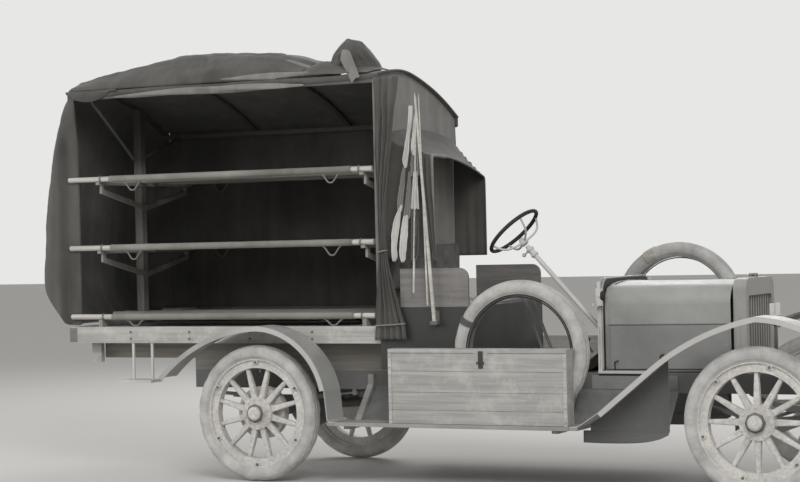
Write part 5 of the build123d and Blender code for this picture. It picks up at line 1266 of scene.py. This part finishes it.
def make_steering():
    across = COLUMN_UP.cross(Vector((0, 1, 0)))

    def wheel_point(angle, outward, rise):
        a = math.radians(angle)
        radial = Vector((0, 1, 0)) * math.cos(a) + across * math.sin(a)
        return COLUMN_TOP + radial * outward + COLUMN_UP * rise

    wheel = {"body": "steering_wheel", "replaces": ["steering_wheel"]}
    rim = [wheel_point(10 * i, RIM_RADIUS, RIM_RISE) for i in range(36)]
    rope("steering_rim", rim, 0.0125, "rim_black", closed=True, **wheel)
    hub = ((0.0, -0.014), (0.024, -0.014), (0.028, -0.010), (0.028, 0.014), (0.020, 0.020), (0.017, 0.030),
           (0.012, 0.034), (0.0, 0.035))
    lathe("steering_hub", hub, 24, COLUMN_TOP, COLUMN_UP, "pale_paint", **wheel)
    for turn in range(4):
        points = [wheel_point(45 + 90 * turn, outward, rise) for outward, rise in SPIDER]
        rope(f"steering_spoke_{turn}", points, 0.0068, "pale_paint", **wheel)
    collar = ((0.0155, -0.115), (0.024, -0.112), (0.024, -0.098), (0.020, -0.094), (0.020, -0.070),
              (0.026, -0.066), (0.026, -0.052), (0.0155, -0.048))
    lathe("column_collar", collar, 24, COLUMN_TOP, COLUMN_UP, "pale_paint")
    lever = 60
    stem = [wheel_point(lever, *row) for row in ((0.022, -0.060), (0.050, -0.052), (0.072, -0.046))]
    rope("spark_lever", stem, 0.0045, "pale_paint")
    knob = ((0.0, -0.014), (0.010, -0.010), (0.014, 0.0), (0.010, 0.010), (0.0, 0.014))
    lathe("spark_knob", knob, 16, wheel_point(lever, 0.076, -0.046), COLUMN_UP, "pale_paint")


def make_dash_trim():
    low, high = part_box("dash_board")
    half, corner = high.y, 0.09
    rows = [(-half, low.z + 0.02)]
    for side in (-1, 1):
        for step in range(7):
            a = math.radians(15 * step)
            y = side * (half - corner + corner * (math.cos(a) if side < 0 else math.sin(a)))
            z = high.z - corner + corner * (math.sin(a) if side < 0 else math.cos(a))
            rows.append((y, z))
    rows.append((half, low.z + 0.02))
    for name, x in (("dash_bead_back", low.x + 0.004), ("dash_bead_front", high.x - 0.004)):
        rope(name, [(x, y, z) for y, z in rows], 0.0065, "radiator_metal")
    screws = [((low.x - 0.0005, y, z), (-1, 0, 0)) for y in (-0.35, -0.2, 0.2, 0.35) for z in (0.80, 1.22)]
    bolts("dash_screws", screws, "radiator_metal", 0.006, 0.003, sides=10)


def make_radiator_trim():
    low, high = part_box("radiator")
    fin_count, fin_foot, fin_pitch = 38, 0.735, 0.0113
    fins = [((high.x - 0.0165, 0, fin_foot + fin_pitch * i), (0.006, 0.500, 0.0022))
            for i in range(fin_count)]
    bars("radiator_fins", fins, "chassis_paint", 0.0005)
    middle_x = (low.x + high.x) / 2
    cap = ((0.022, 0.0), (0.022, 0.006), (0.026, 0.008), (0.026, 0.017), (0.020, 0.021), (0.008, 0.022),
           (0.007, 0.026), (0.0, 0.027))
    lathe("radiator_cap", cap, 20, (middle_x, 0, high.z - 0.026), (0, 0, 1), "dark_paint",
          change=lambda i, j: 0.0012 if i % 4 < 2 and 1 < j < 4 else 0.0)
    half_band = ((0.301, 0.72), (0.301, 1.15), (0.28, 1.225), (0.22, 1.2625))
    band = [(middle_x, -y, z) for y, z in half_band] + [(middle_x, 0, 1.263)]
    band += [(middle_x, y, z) for y, z in half_band[::-1]]
    rope("radiator_band", band, 0.003, "radiator_metal")


def make_post_fittings():
    """Hooks that hold the poles, bolts through the arms and the bent iron feet of the stretchers."""
    low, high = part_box("stretcher_posts")
    arm = 0.086
    bolt_ys = (0.10, 0.50)
    # columns: x of the arms' face towards the middle, way it faces
    faces = ((low.x + arm, 1), (high.x - arm, -1))
    heads = []
    for number, (x, way) in enumerate(faces):
        for tier, z in enumerate(TIERS):
            for hand, side in HANDS[::-1]:
                for pole_y, label in zip(POLE_YS, ("outer", "inner")):
                    if label == "inner" and tier == 0:
                        continue
                    turns = [math.radians(-150 + 230 * step / 8) for step in range(9)]
                    loop = [(x + way * 0.005, side * (pole_y + HOOK * math.cos(a)), z + HOOK * math.sin(a))
                            for a in turns]
                    rope(f"hook_{label}_{number}_{tier}_{hand}", loop, 0.0045, "spring_steel")
                heads += [((x, side * y, z - POLE - 0.010), (way, 0, 0)) for y in bolt_ys]
    bolts("bracket_bolts", heads, "spring_steel", 0.006, 0.005)
    for tier, z in enumerate(TIERS):
        depth = 0.042 if tier == 0 else 0.062
        for number, x in enumerate(FOOT_XS):
            for hand, side in HANDS[::-1]:
                points = [(x + share * 0.070, side * POLE_YS[0], z - POLE - 0.002 - depth * drop)
                          for share, drop in FOOT_BEND]
                rope(f"foot_{number}_{tier}_{hand}", points, 0.0055, "spring_steel")


def make_body_fittings():
    """Bolts and corner irons on the sill."""
    low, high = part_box("body_floor")
    xs = [low.x + 0.03 + i * (high.x - low.x - 0.06) / 5 for i in range(6)]
    heads = facing_out([(x, high.y, z) for x in xs for z in (0.915, 0.960)])
    bolts("sill_bolts", heads, "spring_steel", 0.009, 0.005)
    middle_z = (low.z + high.z) / 2
    irons = [((low.x + 0.03, high.y + 0.0015, middle_z), (0.055, 0.004, 0.095)),
             ((low.x - 0.0015, high.y - 0.03, middle_z), (0.004, 0.058, 0.095))]
    twin_bars("sill_corner_irons", irons, "spring_steel", 0.001)


def make_spare_straps():
    """Lashing round the left spare tyre, with the strap that holds the right one."""
    right, left = spare_middles()
    tyre_middle, half_height, half_width = 0.394, 0.0485, 0.0620

    def loops(name, centre, angle, count, slot, radius, pitch):
        for number in range(count):
            a = math.radians(angle + number * pitch)
            radial = Vector((math.cos(a), 0, math.sin(a)))
            loop = circle(centre + radial * tyre_middle, radial * half_height, (0, half_width, 0), 16)
            rope(f"{name}_{number}", loop, radius, slot, closed=True)

    loops("lashing_back", left, 112, 7, "pole_wood", 0.0055, 1.7)
    loops("lashing_front", left, 24, 3, "pole_wood", 0.0055, 1.8)
    loops("strap_right", right, 150, 4, "seat_leather", 0.005, 1.5)


for make in (make_wheels, make_spares, make_canopy, make_rear_curtain, make_side_curtain, make_corner_curtain,
             make_heap, make_bundle, make_hood, make_beds, make_cushions, make_flags, make_box_boards,
             make_running_boards, make_bonnet_trim, make_fender_skirts, make_rear_frame, make_lamp_details,
             make_steering, make_dash_trim, make_radiator_trim, make_post_fittings, make_body_fittings,
             make_spare_straps):
    make()
